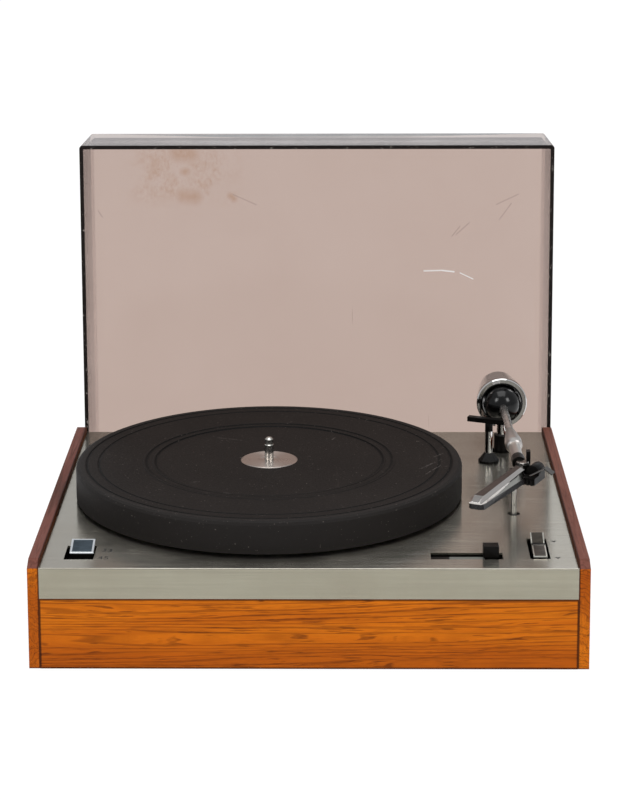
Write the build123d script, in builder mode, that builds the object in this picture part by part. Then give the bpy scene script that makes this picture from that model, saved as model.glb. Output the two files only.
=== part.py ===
from build123d import *
from math import atan2, cos, degrees, hypot, radians, sin
import os

os.makedirs("parts", exist_ok=True)

# record player with a belt drive, all sizes in millimetres
# origin: middle of the plinth on the table, X right, Y to the back, Z up

# plinth
plinth_width = 402.0
plinth_depth = 334.0
foot_height = 3.0
foot_radius = 10.0
deck_top = 78.6
plate_thickness = 1.5
lip_height = 22.9
panel_thickness = 8.2
panel_rise = 4.35
panel_slope = 9.5
front_thickness = 12.0
rear_thickness = 6.0
board_thickness = 3.0
block_size = 14.0

# clearances
seat_gap = 0.05
joint_gap = 0.3
running_gap = 0.05
press_gap = 0.01

# platter group
platter_x = -32.8
platter_y = 2.8
mat_radius = 150.0
mat_rise = 27.7
mat_thickness = 4.0
mat_skirt = 3.0
platter_lift = 3.0
platter_web = 3.0
platter_rim = 7.0
opening_cover = 15.0
sub_radius = 75.0
sub_rim_height = 19.0
sub_rim_wall = 4.0
sub_web = 3.0
hub_radius = 12.0
disc_radius = 22.0
spindle_radius = 3.6
shaft_bore_radius = 3.4
spindle_rise = 18.0

# drive
belt_ratio = 11.25
pulley_distance = 110.0
pulley_angle = 215.0
belt_thickness = 0.8
belt_height = 4.0
motor_radius = 25.0
motor_height = 40.0

# arm
pivot_x = 155.6
pivot_y = 116.0
pivot_rise = 39.8
ball_radius = 14.4
tube_radius = 3.15
shell_angle = 25.8
shell_x = 160.2
shell_y = -51.0
shell_drop = 6.9
shell_waist = 3.0
shell_rise = 1.6
shell_length = 92.0
shell_half = 6.3

# dust cover
cover_width = 395.0
cover_shift = 3.0
cover_length = 325.0
cover_depth = 70.2
cover_wall = 3.0
cover_gap = 1.7

# derived heights and edges
deck_under = deck_top - plate_thickness
mat_top = deck_top + mat_rise
pivot_z = deck_top + pivot_rise
shell_low = pivot_z - shell_drop
shell_mid = pivot_z - shell_waist
shell_top = pivot_z + shell_rise
deck_opening = mat_radius - opening_cover
panel_top = deck_top + panel_rise
board_low = 2 * foot_height
board_top = board_low + board_thickness
half_width = plinth_width / 2
half_depth = plinth_depth / 2
inner_half = half_width - panel_thickness
front_inner = -half_depth + front_thickness
rear_inner = half_depth - rear_thickness

pieces = {}


def keep(label, piece):
    piece.label = label
    pieces[label] = piece


def arc_spot(radius, angle, cx=0.0, cy=0.0):
    return (cx + radius * cos(radians(angle)), cy + radius * sin(radians(angle)))


# side panels of the plinth, front top corner sloped
def side_panel(side):
    with BuildPart() as panel:
        inside = side * inner_half
        with BuildSketch(Plane.YZ.offset(inside)):
            with BuildLine():
                Polyline(
                    (-half_depth, foot_height),
                    (half_depth, foot_height),
                    (half_depth, panel_top),
                    (-half_depth + panel_slope, panel_top),
                    (-half_depth, deck_top),
                    close=True,
                )
            make_face()
        extrude(amount=side * panel_thickness)
    return panel.part


keep("left_side_panel", side_panel(-1))
keep("right_side_panel", side_panel(1))

# front board with a rebate behind the plate's lip
lip_bottom = deck_top - lip_height
with BuildPart() as front_board:
    with BuildSketch(Plane.YZ):
        with BuildLine():
            Polyline(
                (-half_depth, foot_height),
                (front_inner, foot_height),
                (front_inner, deck_under),
                (-half_depth + plate_thickness + seat_gap, deck_under),
                (-half_depth + plate_thickness + seat_gap, lip_bottom - seat_gap),
                (-half_depth, lip_bottom - seat_gap),
                close=True,
            )
        make_face()
    extrude(amount=inner_half, both=True)
keep("front_board", front_board.part)

# rear board with two cable outlets
outlet_radius = 5.5
outlet_z = 30.0
outlet_x = (-150.0, -120.0)
outlet_y = half_depth - rear_thickness / 2
outlet_spots = [Location((x, outlet_y, outlet_z), (90, 0, 0)) for x in outlet_x]
with BuildPart() as rear_board:
    with BuildSketch(Plane.XY.offset(foot_height)):
        with Locations((0, half_depth - rear_thickness / 2)):
            Rectangle(2 * inner_half, rear_thickness)
    extrude(amount=deck_under - foot_height)
    with Locations(*outlet_spots):
        Cylinder(outlet_radius, 3 * rear_thickness, mode=Mode.SUBTRACT)
keep("rear_board", rear_board.part)

# rubber grommets in the outlets
grommet_bore = 3.0
grommet_lip = 1.5
grommet_flange = 2.0
with BuildPart() as grommets:
    with Locations(*outlet_spots):
        Cylinder(outlet_radius - seat_gap, rear_thickness)
        Cylinder(grommet_bore, 3 * rear_thickness, mode=Mode.SUBTRACT)
    with Locations(*[Location((x, half_depth + grommet_lip / 2, outlet_z), (90, 0, 0)) for x in outlet_x]):
        Cylinder(outlet_radius + grommet_flange, grommet_lip)
        Cylinder(grommet_bore, 3 * grommet_lip, mode=Mode.SUBTRACT)
keep("cable_grommets", grommets.part)

# base board, feet and screws
foot_inset_x = 25.0
foot_inset_y = 35.0
foot_x = inner_half - foot_inset_x
foot_y = half_depth - foot_inset_y
screw_x = inner_half - block_size / 2
corner_spots = [(sx * foot_x, sy * foot_y) for sx in (-1, 1) for sy in (-1, 1)]
block_mid = (front_inner + rear_inner) / 2
block_half = (rear_inner - front_inner) / 2 - block_size / 2
screw_spots = [(sx * screw_x, block_mid + sy * block_half) for sx in (-1, 1) for sy in (-1, 1)]
screw_hole = 2.0
slot_length = 40.0
slot_width = 4.0
slot_pitch = 10.0
slot_count = 5
slot_spot = (-120.0, -60.0)
with BuildPart() as base_board:
    with BuildSketch(Plane.XY.offset(board_low)):
        with Locations((0, block_mid)):
            Rectangle(2 * inner_half, rear_inner - front_inner)
        with Locations(*screw_spots):
            Circle(screw_hole, mode=Mode.SUBTRACT)
    extrude(amount=board_thickness)
    # rows of slots for cooling air under the motor
    with BuildSketch(Plane.XY.offset(board_low)):
        with Locations(slot_spot):
            with GridLocations(0, slot_pitch, 1, slot_count):
                SlotOverall(slot_length, slot_width)
    extrude(amount=board_thickness, mode=Mode.SUBTRACT)
keep("base_board", base_board.part)

foot_taper = -4
with BuildPart() as feet:
    with BuildSketch(Plane.XY):
        with Locations(*corner_spots):
            Circle(foot_radius)
    extrude(amount=board_low, taper=foot_taper)
keep("rubber_feet", feet.part)

pilot_radius = 1.5
thread_radius = 1.45
with BuildPart() as blocks:
    with BuildSketch(Plane.XY.offset(board_top)):
        with Locations(*screw_spots):
            Rectangle(block_size, block_size)
            Circle(pilot_radius, mode=Mode.SUBTRACT)
    extrude(amount=deck_under - board_top)
keep("corner_blocks", blocks.part)

screw_length = 14.0
screw_head = 1.5
screw_head_radius = 3.5
driver_length = 5.0
driver_width = 0.8
with BuildPart() as base_screws:
    with BuildSketch(Plane.XY.offset(board_low - screw_head)):
        with Locations(*screw_spots):
            Circle(screw_head_radius)
    extrude(amount=screw_head)
    with BuildSketch(Plane.XY.offset(board_low)):
        with Locations(*screw_spots):
            Circle(thread_radius)
    extrude(amount=screw_length)
    with BuildSketch(Plane.XY.offset(board_low - screw_head)):
        with Locations(*screw_spots):
            Rectangle(driver_length, driver_width)
    extrude(amount=driver_width, mode=Mode.SUBTRACT)
keep("base_screws", base_screws.part)

# controls on the deck: slots and their moving pieces
speed_slot_x = (-176.9, -155.5)
speed_slot_y = (-148.6, -119.5)
start_slot_x = (88.0, 140.0)
start_slot_y = (-147.4, -134.0)
lever_slot_x = (159.6, 174.2)
lever_slot_y = (-146.6, -103.0)
post_x = 154.4
post_y = -46.0
post_radius = 2.2
bush_radius = 4.8
bush_drop = 0.6
cue_x = 143.1
cue_y = 84.4
cue_rod = 2.0
rod_clearance = 1.5
pedestal_radius = 6.3
pedestal_hole = 9.0
bend_radius = 0.9


def span(pair):
    return pair[1] - pair[0]


def middle(pair):
    return (pair[0] + pair[1]) / 2


# chassis studs hold the sprung chassis under the plate
stud_spots = [(-158.0, 110.0), (90.0, 140.0), (120.0, -105.0)]

# the pulley stands in the opening, and has a hole of its own where that is small
motor_spot = arc_spot(pulley_distance, pulley_angle, platter_x, platter_y)
pulley_clearance = 12.0
slots = ((speed_slot_x, speed_slot_y), (start_slot_x, start_slot_y), (lever_slot_x, lever_slot_y))

# deck plate, bent down at the front
with BuildPart() as deck_plate:
    with BuildSketch(Plane.YZ):
        with BuildLine():
            Polyline(
                (-half_depth, lip_bottom),
                (-half_depth + plate_thickness, lip_bottom),
                (-half_depth + plate_thickness, deck_under),
                (half_depth, deck_under),
                (half_depth, deck_top),
                (-half_depth, deck_top),
                close=True,
            )
        make_face()
    extrude(amount=inner_half - seat_gap, both=True)
    bend = deck_plate.edges().filter_by(Axis.X).sort_by(Axis.Y)[:4].sort_by(Axis.Z)[-1:]
    fillet(bend, bend_radius)
    with BuildSketch(Plane.XY.offset(deck_under)):
        with Locations((platter_x, platter_y)):
            Circle(deck_opening)
        with Locations(motor_spot):
            Circle(pulley_clearance)
        with Locations((pivot_x, pivot_y)):
            Circle(pedestal_hole)
        with Locations((cue_x, cue_y)):
            Circle(cue_rod + rod_clearance)
        with Locations((post_x, post_y)):
            Circle(bush_radius)
        for xs, ys in slots:
            with Locations((middle(xs), middle(ys))):
                Rectangle(span(xs), span(ys))
    extrude(amount=plate_thickness, mode=Mode.SUBTRACT)
keep("deck_plate", deck_plate.part)

# sprung steel chassis under the plate
chassis_drop = 20.6
chassis_thickness = 2.0
chassis_low = deck_top - chassis_drop
chassis_top = chassis_low + chassis_thickness
motor_clear = 42.0
stud_radius = 2.5
stud_clearance = 1.0
housing_radius = 9.0
lightening_radius = 22.0
column_clearance = 5.0
turned_edge = 8.0
edge_thickness = 2.0
with BuildPart() as chassis:
    with BuildSketch(Plane.XY.offset(chassis_low)):
        with BuildLine():
            Polyline(
                (-174.0, 40.0),
                (-174.0, 128.0),
                (60.0, 154.0),
                (172.0, 154.0),
                (172.0, -60.0),
                (140.0, -124.0),
                (60.0, -124.0),
                (-70.0, -60.0),
                close=True,
            )
        make_face()
        with Locations(motor_spot):
            Circle(motor_clear, mode=Mode.SUBTRACT)
        with Locations(*stud_spots):
            Circle(stud_radius + stud_clearance, mode=Mode.SUBTRACT)
        with Locations((platter_x, platter_y)):
            Circle(housing_radius + seat_gap, mode=Mode.SUBTRACT)
        with Locations((60.0, 60.0), (40.0, -50.0)):
            Circle(lightening_radius, mode=Mode.SUBTRACT)
        with Locations((pivot_x, pivot_y)):
            Circle(column_clearance, mode=Mode.SUBTRACT)
    extrude(amount=chassis_thickness)
    # turned down edge along the back of the chassis for stiffness
    with BuildSketch(Plane.XY.offset(chassis_low - turned_edge)):
        with Locations((110.0, 153.0)):
            Rectangle(100.0, edge_thickness)
        with Locations((171.0, 40.0)):
            Rectangle(edge_thickness, 160.0)
    extrude(amount=turned_edge)
keep("chassis_plate", chassis.part)

# studs, springs and cups of the suspension
spring_low = chassis_low - 18.0
spring_radius = 6.0
wire_radius = 0.7
stud_low = chassis_low - 24.0
stud_flange = 2.0
with BuildPart() as studs:
    with BuildSketch(Plane.XY.offset(stud_low)):
        with Locations(*stud_spots):
            Circle(stud_radius)
    extrude(amount=deck_under - stud_low)
    with BuildSketch(Plane.XY.offset(deck_under - stud_flange)):
        with Locations(*stud_spots):
            Circle(spring_radius)
    extrude(amount=stud_flange)

cup_thickness = 2.0
cup_radius = 9.0
with BuildPart() as cups:
    with BuildSketch(Plane.XY.offset(spring_low - cup_thickness)):
        with Locations(*stud_spots):
            RegularPolygon(cup_radius, 6)
            Circle(stud_radius + seat_gap, mode=Mode.SUBTRACT)
    extrude(amount=cup_thickness)
keep("chassis_studs", Compound(children=[studs.part, cups.part]))

# springs, one coil for each stud, each turn a ring joined by the next
turns = 4
spring_pitch = (chassis_low - spring_low - 2 * wire_radius) / turns
with BuildPart() as coil:
    with BuildLine() as coil_line:
        Helix(spring_pitch, spring_pitch * turns, spring_radius)
    with BuildSketch(Plane(coil_line.line @ 0, z_dir=coil_line.line % 0)):
        Circle(wire_radius)
    sweep(is_frenet=True)
coils = [coil.part.moved(Location((x, y, spring_low + wire_radius))) for x, y in stud_spots]
keep("suspension_springs", Compound(children=coils))

# bearing housing of the platter, on the chassis
shaft_low = chassis_low - 35.0
ball_size = 2.0
housing_low = chassis_low - 42.0
flange_radius = 20.0
flange_height = 3.0
with BuildPart() as housing:
    with BuildSketch(Plane.XZ):
        with BuildLine():
            Polyline(
                (0, housing_low),
                (housing_radius, housing_low),
                (housing_radius, chassis_top),
                (flange_radius, chassis_top),
                (flange_radius, chassis_top + flange_height),
                (shaft_bore_radius + running_gap, chassis_top + flange_height),
                (shaft_bore_radius + running_gap, shaft_low - 2 * ball_size),
                (0, shaft_low - 2 * ball_size),
                close=True,
            )
        make_face()
    revolve(axis=Axis.Z)
keep("bearing_housing", housing.part.moved(Location((platter_x, platter_y, 0))))

with BuildPart() as thrust:
    with Locations((platter_x, platter_y, shaft_low - ball_size)):
        Sphere(ball_size)
keep("thrust_ball", thrust.part)

small_head = 1.4
small_head_radius = 2.6
bearing_screw_spots = [arc_spot(flange_radius - 4.5, a, platter_x, platter_y) for a in (30, 150, 270)]
with BuildPart() as bearing_screws:
    with BuildSketch(Plane.XY.offset(chassis_top + flange_height)):
        with Locations(*bearing_screw_spots):
            Circle(small_head_radius)
            Rectangle(3.8, 0.7, mode=Mode.SUBTRACT)
    extrude(amount=small_head)
keep("bearing_screws", bearing_screws.part)

# spindle: shaft through the bearing up to the record's hole
disc_face = mat_top - 0.3
spindle_top = mat_top + spindle_rise
neck_low = spindle_top - 5.5
with BuildPart() as spindle:
    with BuildSketch(Plane.XZ):
        with BuildLine():
            Polyline(
                (0, shaft_low + running_gap),
                (shaft_bore_radius - 0.6, shaft_low + running_gap),
                (shaft_bore_radius, shaft_low + running_gap + 0.6),
                (shaft_bore_radius, disc_face),
                (spindle_radius, disc_face),
                (spindle_radius, neck_low - 0.6),
                (spindle_radius - 0.6, neck_low),
                (spindle_radius - 0.6, neck_low + 1.0),
                (spindle_radius - 0.25, neck_low + 1.4),
                (spindle_radius - 0.25, spindle_top - 1.6),
                (spindle_radius - 1.6, spindle_top - 0.3),
                (spindle_radius - 2.4, spindle_top),
                (0, spindle_top),
                close=True,
            )
        make_face()
    revolve(axis=Axis.Z)
keep("centre_spindle", spindle.part.moved(Location((platter_x, platter_y, 0))))

# inner platter that the belt drives
platter_top = mat_top - mat_thickness
mat_low = deck_top + platter_lift
platter_low = mat_low + 1.5
web_low = platter_top - platter_web
sub_top = deck_top + 4.5
sub_low = sub_top - sub_rim_height
hub_low = chassis_top + 5.0
ring_outer = 60.0
ring_inner = 56.0
bore = shaft_bore_radius + 0.02
with BuildPart() as inner_platter:
    with BuildSketch(Plane.XZ):
        with BuildLine():
            Polyline(
                (bore, hub_low),
                (hub_radius, hub_low),
                (hub_radius, sub_top - sub_web),
                (sub_radius - sub_rim_wall, sub_top - sub_web),
                (sub_radius - sub_rim_wall, sub_low),
                (sub_radius, sub_low),
                (sub_radius, sub_top),
                (ring_outer, sub_top),
                (ring_outer, web_low),
                (ring_inner, web_low),
                (ring_inner, sub_top),
                (hub_radius, sub_top),
                (hub_radius, web_low),
                (bore, web_low),
                close=True,
            )
        make_face()
    revolve(axis=Axis.Z)
    with BuildSketch(Plane.XY.offset(sub_top - sub_web)):
        with PolarLocations(34.0, 6):
            Circle(9.0)
    extrude(amount=sub_web, mode=Mode.SUBTRACT)
keep("inner_platter", inner_platter.part.moved(Location((platter_x, platter_y, 0))))

# outer platter, a shallow dish under the mat
rim_outer = mat_radius - mat_skirt
with BuildPart() as outer_platter:
    with BuildSketch(Plane.XZ):
        with BuildLine():
            Polyline(
                (bore, web_low),
                (rim_outer - platter_rim, web_low),
                (rim_outer - platter_rim, platter_low),
                (rim_outer, platter_low),
                (rim_outer, platter_top),
                (bore, platter_top),
                close=True,
            )
        make_face()
    revolve(axis=Axis.Z)
keep("outer_platter", outer_platter.part.moved(Location((platter_x, platter_y, 0))))

# rubber mat that wraps the rim, with its rings
groove = 0.5
field_drop = 0.2
centre_drop = 0.4
ring_rise = 0.3
disc_seat = disc_radius + 0.1
outer_ring = 97.0
inner_ring = 89.7
with BuildPart() as mat:
    with BuildSketch(Plane.XZ):
        with BuildLine():
            Polyline(
                (disc_seat, platter_top),
                (rim_outer, platter_top),
                (rim_outer, mat_low + 1.0),
                (rim_outer + 1.0, mat_low),
                (mat_radius, mat_low + 0.4),
                (mat_radius, mat_top - 3.0),
                (mat_radius - 0.9, mat_top - 0.9),
                (mat_radius - 3.0, mat_top),
                (mat_radius - 7.4, mat_top),
                (mat_radius - 8.0, mat_top - groove),
                (mat_radius - 8.6, mat_top - groove),
                (mat_radius - 9.2, mat_top - 0.1),
                (mat_radius - 16.6, mat_top - 0.1),
                (mat_radius - 17.2, mat_top - groove),
                (mat_radius - 18.0, mat_top - groove),
                (mat_radius - 18.6, mat_top - field_drop),
                (outer_ring + 1.6, mat_top - field_drop),
                (outer_ring + 0.6, mat_top + ring_rise),
                (outer_ring - 0.6, mat_top + ring_rise),
                (outer_ring - 1.4, mat_top - field_drop),
                (inner_ring + 1.3, mat_top - field_drop),
                (inner_ring + 0.5, mat_top + ring_rise),
                (inner_ring - 0.5, mat_top + ring_rise),
                (inner_ring - 1.3, mat_top - centre_drop),
                (disc_seat, mat_top - centre_drop),
                close=True,
            )
        make_face()
    revolve(axis=Axis.Z)
keep("rubber_mat", mat.part.moved(Location((platter_x, platter_y, 0))))

# brushed disc in the middle of the mat
with BuildPart() as disc:
    with BuildSketch(Plane.XZ):
        with BuildLine():
            Polyline(
                (bore, platter_top),
                (disc_radius, platter_top),
                (disc_radius, mat_top - centre_drop),
                (disc_radius - 1.0, mat_top),
                (8.0, mat_top),
                (7.5, disc_face),
                (bore, disc_face),
                close=True,
            )
        make_face()
    revolve(axis=Axis.Z)
keep("centre_disc", disc.part.moved(Location((platter_x, platter_y, 0))))

# motor on two posts that stand on the base board
belt_mid = sub_low + 8.0
pulley_radius = sub_radius / belt_ratio
shaft_radius = 1.6
motor_top = chassis_low - 2.0
flange_thickness = 2.0
ear_reach = 33.0
ear_width = 13.0
ear_hole = 3.1
mx, my = motor_spot
ears = [(mx, my - ear_reach), (mx, my + ear_reach)]
with BuildPart() as motor:
    with BuildSketch(Plane.XY.offset(motor_top - motor_height)):
        with Locations(motor_spot):
            Circle(motor_radius)
    extrude(amount=motor_height)
    chamfer(motor.edges().filter_by(GeomType.CIRCLE), 1.5)
    with BuildSketch(Plane.XY.offset(motor_top)):
        with Locations(motor_spot):
            Circle(motor_radius + 1.0)
            SlotOverall(2 * ear_reach + ear_width, ear_width, rotation=90)
        with Locations(*ears):
            Circle(ear_hole, mode=Mode.SUBTRACT)
        with Locations(motor_spot):
            Circle(shaft_radius + 2.0, mode=Mode.SUBTRACT)
    extrude(amount=flange_thickness)
keep("motor_body", motor.part)

post_thickness = 5.0
with BuildPart() as motor_posts:
    with BuildSketch(Plane.XY.offset(board_top)):
        with Locations(*ears):
            Circle(post_thickness)
            Circle(pilot_radius, mode=Mode.SUBTRACT)
    extrude(amount=motor_top - board_top)
keep("motor_posts", motor_posts.part)

thread_depth = 10.0
with BuildPart() as motor_screws:
    with BuildSketch(Plane.XY.offset(motor_top - thread_depth)):
        with Locations(*ears):
            Circle(thread_radius)
    extrude(amount=thread_depth + flange_thickness + 1.0)
    with BuildSketch(Plane.XY.offset(motor_top + flange_thickness)):
        with Locations(*ears):
            Circle(ear_hole + 1.1)
            Rectangle(driver_length, driver_width, mode=Mode.SUBTRACT)
    extrude(amount=2.0)
keep("motor_screws", motor_screws.part)

# two step pulley on the motor shaft
with BuildPart() as pulley:
    with BuildSketch(Plane.XZ):
        low = motor_top + flange_thickness + 1.0
        step = belt_mid + 3.6
        with BuildLine():
            Polyline(
                (0, motor_top + 0.4),
                (shaft_radius, motor_top + 0.4),
                (shaft_radius, low),
                (pulley_radius + 1.6, low),
                (pulley_radius + 1.6, low + 1.2),
                (pulley_radius, belt_mid - 3.0),
                (pulley_radius, belt_mid + 3.0),
                (pulley_radius + 2.4, step),
                (pulley_radius + 2.4, step + 3.2),
                (pulley_radius + 3.6, step + 3.8),
                (pulley_radius + 3.6, step + 4.6),
                (0, step + 4.6),
                close=True,
            )
        make_face()
    revolve(axis=Axis.Z)
keep("motor_pulley", pulley.part.moved(Location((mx, my, 0))))

# drive belt round the pulley and the inner platter
with BuildPart() as belt:
    with BuildSketch(Plane.XY.offset(belt_mid - belt_height / 2)):
        with Locations((platter_x, platter_y)):
            Circle(sub_radius + joint_gap + belt_thickness)
        with Locations(motor_spot):
            Circle(pulley_radius + joint_gap + belt_thickness)
        make_hull()
        with BuildSketch(mode=Mode.PRIVATE) as inside:
            with Locations((platter_x, platter_y)):
                Circle(sub_radius + joint_gap)
            with Locations(motor_spot):
                Circle(pulley_radius + joint_gap)
            make_hull()
        add(inside.sketch, mode=Mode.SUBTRACT)
    extrude(amount=belt_height)
keep("drive_belt", belt.part)

# mains switch and terminal strip on the base board
switch_spot = (114.0, -136.0)
switch_height = 18.0
strip_spot = (-135.0, 120.0)
strip_height = 8.0
with BuildPart() as mains_switch:
    with BuildSketch(Plane.XY.offset(board_top)):
        with Locations(switch_spot):
            Rectangle(34.0, 22.0)
    extrude(amount=switch_height)
    with BuildSketch(Plane.XY.offset(board_top + switch_height)):
        with Locations(switch_spot):
            Rectangle(20.0, 8.0)
    extrude(amount=6.0)
keep("mains_switch", mains_switch.part)

with BuildPart() as terminals:
    with BuildSketch(Plane.XY.offset(board_top)):
        with Locations(strip_spot):
            Rectangle(60.0, 14.0)
    extrude(amount=strip_height)
    with BuildSketch(Plane.XY.offset(board_top + strip_height)):
        with Locations(strip_spot):
            with GridLocations(10.0, 0, 5, 1):
                Rectangle(1.2, 11.0)
    extrude(amount=4.0)
keep("terminal_strip", terminals.part)

# speed key: chrome cap on a black stem that slides in the deck
speed_travel = 6.5
key_x = (-173.2, -155.9)
key_y = (-141.4, -124.2)
key_front = deck_top + 2.7
key_back = deck_top + 7.0
key_edge = 0.9
key_step = 2.0
key_thickness = 2.2
with BuildPart() as speed_cap:
    with BuildSketch(Plane.YZ.offset(key_x[0])):
        with BuildLine():
            Polyline(
                (key_y[0], key_front - key_edge),
                (key_y[0] + 0.5, key_front),
                (key_y[1], key_back),
                (key_y[1], key_back - key_thickness),
                (key_y[0] + key_step, key_front - key_edge),
                close=True,
            )
        make_face()
    extrude(amount=span(key_x))
keep("speed_key_cap", speed_cap.part)

stem_inset = 0.8
stem_low = deck_under - 3.0
stem_foot = 6.0
key_slope = (key_back - key_thickness - key_front + key_edge) / (span(key_y) - key_step)
with BuildPart() as speed_stem:
    with BuildSketch(Plane.YZ.offset(key_x[0] + stem_inset)):
        with BuildLine():
            Polyline(
                (key_y[0] + 0.3, stem_low),
                (key_y[0] + 0.3, key_front - key_edge),
                (key_y[0] + key_step, key_front - key_edge),
                (key_y[1] - stem_inset, key_back - key_thickness - stem_inset * key_slope),
                (key_y[1] - stem_inset, stem_low),
                close=True,
            )
        make_face()
    extrude(amount=span(key_x) - 2 * stem_inset)
    with BuildSketch(Plane.XY.offset(stem_low)):
        with Locations((middle(key_x), middle(key_y))):
            Rectangle(stem_foot, stem_foot)
    extrude(amount=-10.0)
keep("speed_key_stem", speed_stem.part)

# guide trays under the slots
tray_wall = 1.5
tray_depth = 8.0
guide_gap = 0.6


def tray(xs, ys, depth, opening):
    with BuildPart() as guide:
        with BuildSketch(Plane.XY.offset(deck_under - depth)):
            with Locations((middle(xs), middle(ys))):
                Rectangle(span(xs) + 2 * tray_wall, span(ys) + 2 * tray_wall)
        extrude(amount=depth)
        with BuildSketch(Plane.XY.offset(deck_under - depth + tray_wall)):
            with Locations((middle(xs), middle(ys))):
                Rectangle(span(xs), span(ys))
        extrude(amount=depth, mode=Mode.SUBTRACT)
        with BuildSketch(Plane.XY.offset(deck_under - depth)):
            with Locations(opening[0]):
                Rectangle(*opening[1])
        extrude(amount=tray_wall, mode=Mode.SUBTRACT)
    return guide.part


speed_opening = (
    (middle(key_x), middle(key_y) - speed_travel / 2),
    (stem_foot + 2 * guide_gap, stem_foot + speed_travel + 2 * guide_gap),
)
speed_guide = tray(speed_slot_x, speed_slot_y, tray_depth, speed_opening)

# start slider: knob, stem and the scale beside it
start_travel = 36.0
knob_x = (125.7, 137.0)
knob_y = (-146.1, -135.1)
knob_top = deck_top + 8.9
knob_low = deck_top + 0.5
knob_foot = (8.0, 4.0)
knob_foot_y = knob_y[1] - 3.0
with BuildPart() as start_knob:
    with BuildSketch(Plane.YZ.offset(knob_x[0])):
        with BuildLine():
            Polyline(
                (knob_y[0], knob_low),
                (knob_y[0] + 0.6, knob_top),
                (knob_y[1] - 1.2, knob_top),
                (knob_y[1], knob_low),
                close=True,
            )
        make_face()
    extrude(amount=span(knob_x))
    fillet(start_knob.edges().group_by(Axis.Z)[-1], 0.5)
    with BuildSketch(Plane.XY.offset(knob_low)):
        with Locations((middle(knob_x), knob_foot_y)):
            Rectangle(*knob_foot)
    extrude(amount=-14.0)
keep("start_knob", start_knob.part)

start_opening = (
    (middle(knob_x) - start_travel / 2, knob_foot_y),
    (knob_foot[0] + start_travel + 2 * guide_gap, knob_foot[1] + 2 * guide_gap),
)
start_guide = tray(start_slot_x, start_slot_y, tray_depth, start_opening)

# two printed strips on the tray's floor
scale_y = (start_slot_y[0] + 0.1, knob_y[1] - 6.2)
scale_top = deck_top - 2.0
scale_low = deck_under - tray_depth + tray_wall
dark_x = (start_slot_x[0] + 0.2, start_slot_x[0] + 13.4)
light_x = (dark_x[1] + 0.1, start_slot_x[1] - 0.2)


def scale_strip(xs):
    with BuildPart() as strip:
        with BuildSketch(Plane.XY.offset(scale_low)):
            with Locations((middle(xs), middle(scale_y))):
                Rectangle(span(xs), span(scale_y))
        extrude(amount=scale_top - scale_low)
    return strip.part


keep("scale_dark_strip", scale_strip(dark_x))
keep("scale_light_strip", scale_strip(light_x))

# cue lever: a bright rocker with two wings on a pin below the deck
lever_x = (161.9, 171.9)
lever_pin_y = -125.0
lever_pin_z = deck_top - 9.0
lever_pin_radius = 1.5
with BuildPart() as cue_lever:
    with BuildSketch(Plane.YZ.offset(lever_x[0])):
        with BuildLine():
            Polyline(
                (-144.6, deck_top + 0.6),
                (-143.6, deck_top + 1.8),
                (-123.6, deck_top + 3.9),
                (-121.4, deck_top + 2.0),
                (-108.6, deck_top + 6.9),
                (-107.6, deck_top + 5.6),
                (-118.0, deck_top - 1.0),
                (-121.5, lever_pin_z - 3.0),
                (-128.5, lever_pin_z - 3.0),
                (-132.0, deck_top - 0.8),
                close=True,
            )
        make_face()
    extrude(amount=span(lever_x))
    with Locations(Location((middle(lever_x), lever_pin_y, lever_pin_z), (0, 90, 0))):
        Cylinder(lever_pin_radius + running_gap, 2 * span(lever_x), mode=Mode.SUBTRACT)
keep("cue_lever", cue_lever.part)

lever_guide_depth = 17.0
with BuildPart() as lever_guide:
    with BuildSketch(Plane.XY.offset(deck_under - lever_guide_depth)):
        with Locations((middle(lever_slot_x), middle(lever_slot_y))):
            Rectangle(span(lever_slot_x) + 2 * tray_wall, span(lever_slot_y) + 2 * tray_wall)
    extrude(amount=lever_guide_depth)
    with BuildSketch(Plane.XY.offset(deck_under - lever_guide_depth + tray_wall)):
        with Locations((middle(lever_slot_x), middle(lever_slot_y))):
            Rectangle(span(lever_slot_x), span(lever_slot_y))
    extrude(amount=lever_guide_depth, mode=Mode.SUBTRACT)
    with Locations(Location((middle(lever_x), lever_pin_y, lever_pin_z), (0, 90, 0))):
        Cylinder(lever_pin_radius, 2 * span(lever_slot_x), mode=Mode.SUBTRACT)
keep("control_guides", Compound(children=[speed_guide, start_guide, lever_guide.part]))

with BuildPart() as lever_pin:
    with Locations(Location((middle(lever_slot_x), lever_pin_y, lever_pin_z), (0, 90, 0))):
        Cylinder(lever_pin_radius - press_gap, span(lever_slot_x) + 2 * tray_wall)
keep("cue_lever_pin", lever_pin.part)

# arm rest: bush in the deck, post and cradle
post_top = pivot_z - 11.2
with BuildPart() as post_bush:
    with BuildSketch(Plane.XY.offset(chassis_top)):
        with Locations((post_x, post_y)):
            Circle(bush_radius - seat_gap)
            Circle(post_radius + seat_gap, mode=Mode.SUBTRACT)
    extrude(amount=deck_top - bush_drop - chassis_top)
keep("arm_rest_bush", post_bush.part)

with BuildPart() as rest_post:
    with BuildSketch(Plane.XY.offset(chassis_top)):
        with Locations((post_x, post_y)):
            Circle(post_radius)
    extrude(amount=post_top - chassis_top)
keep("arm_rest_post", rest_post.part)

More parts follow.
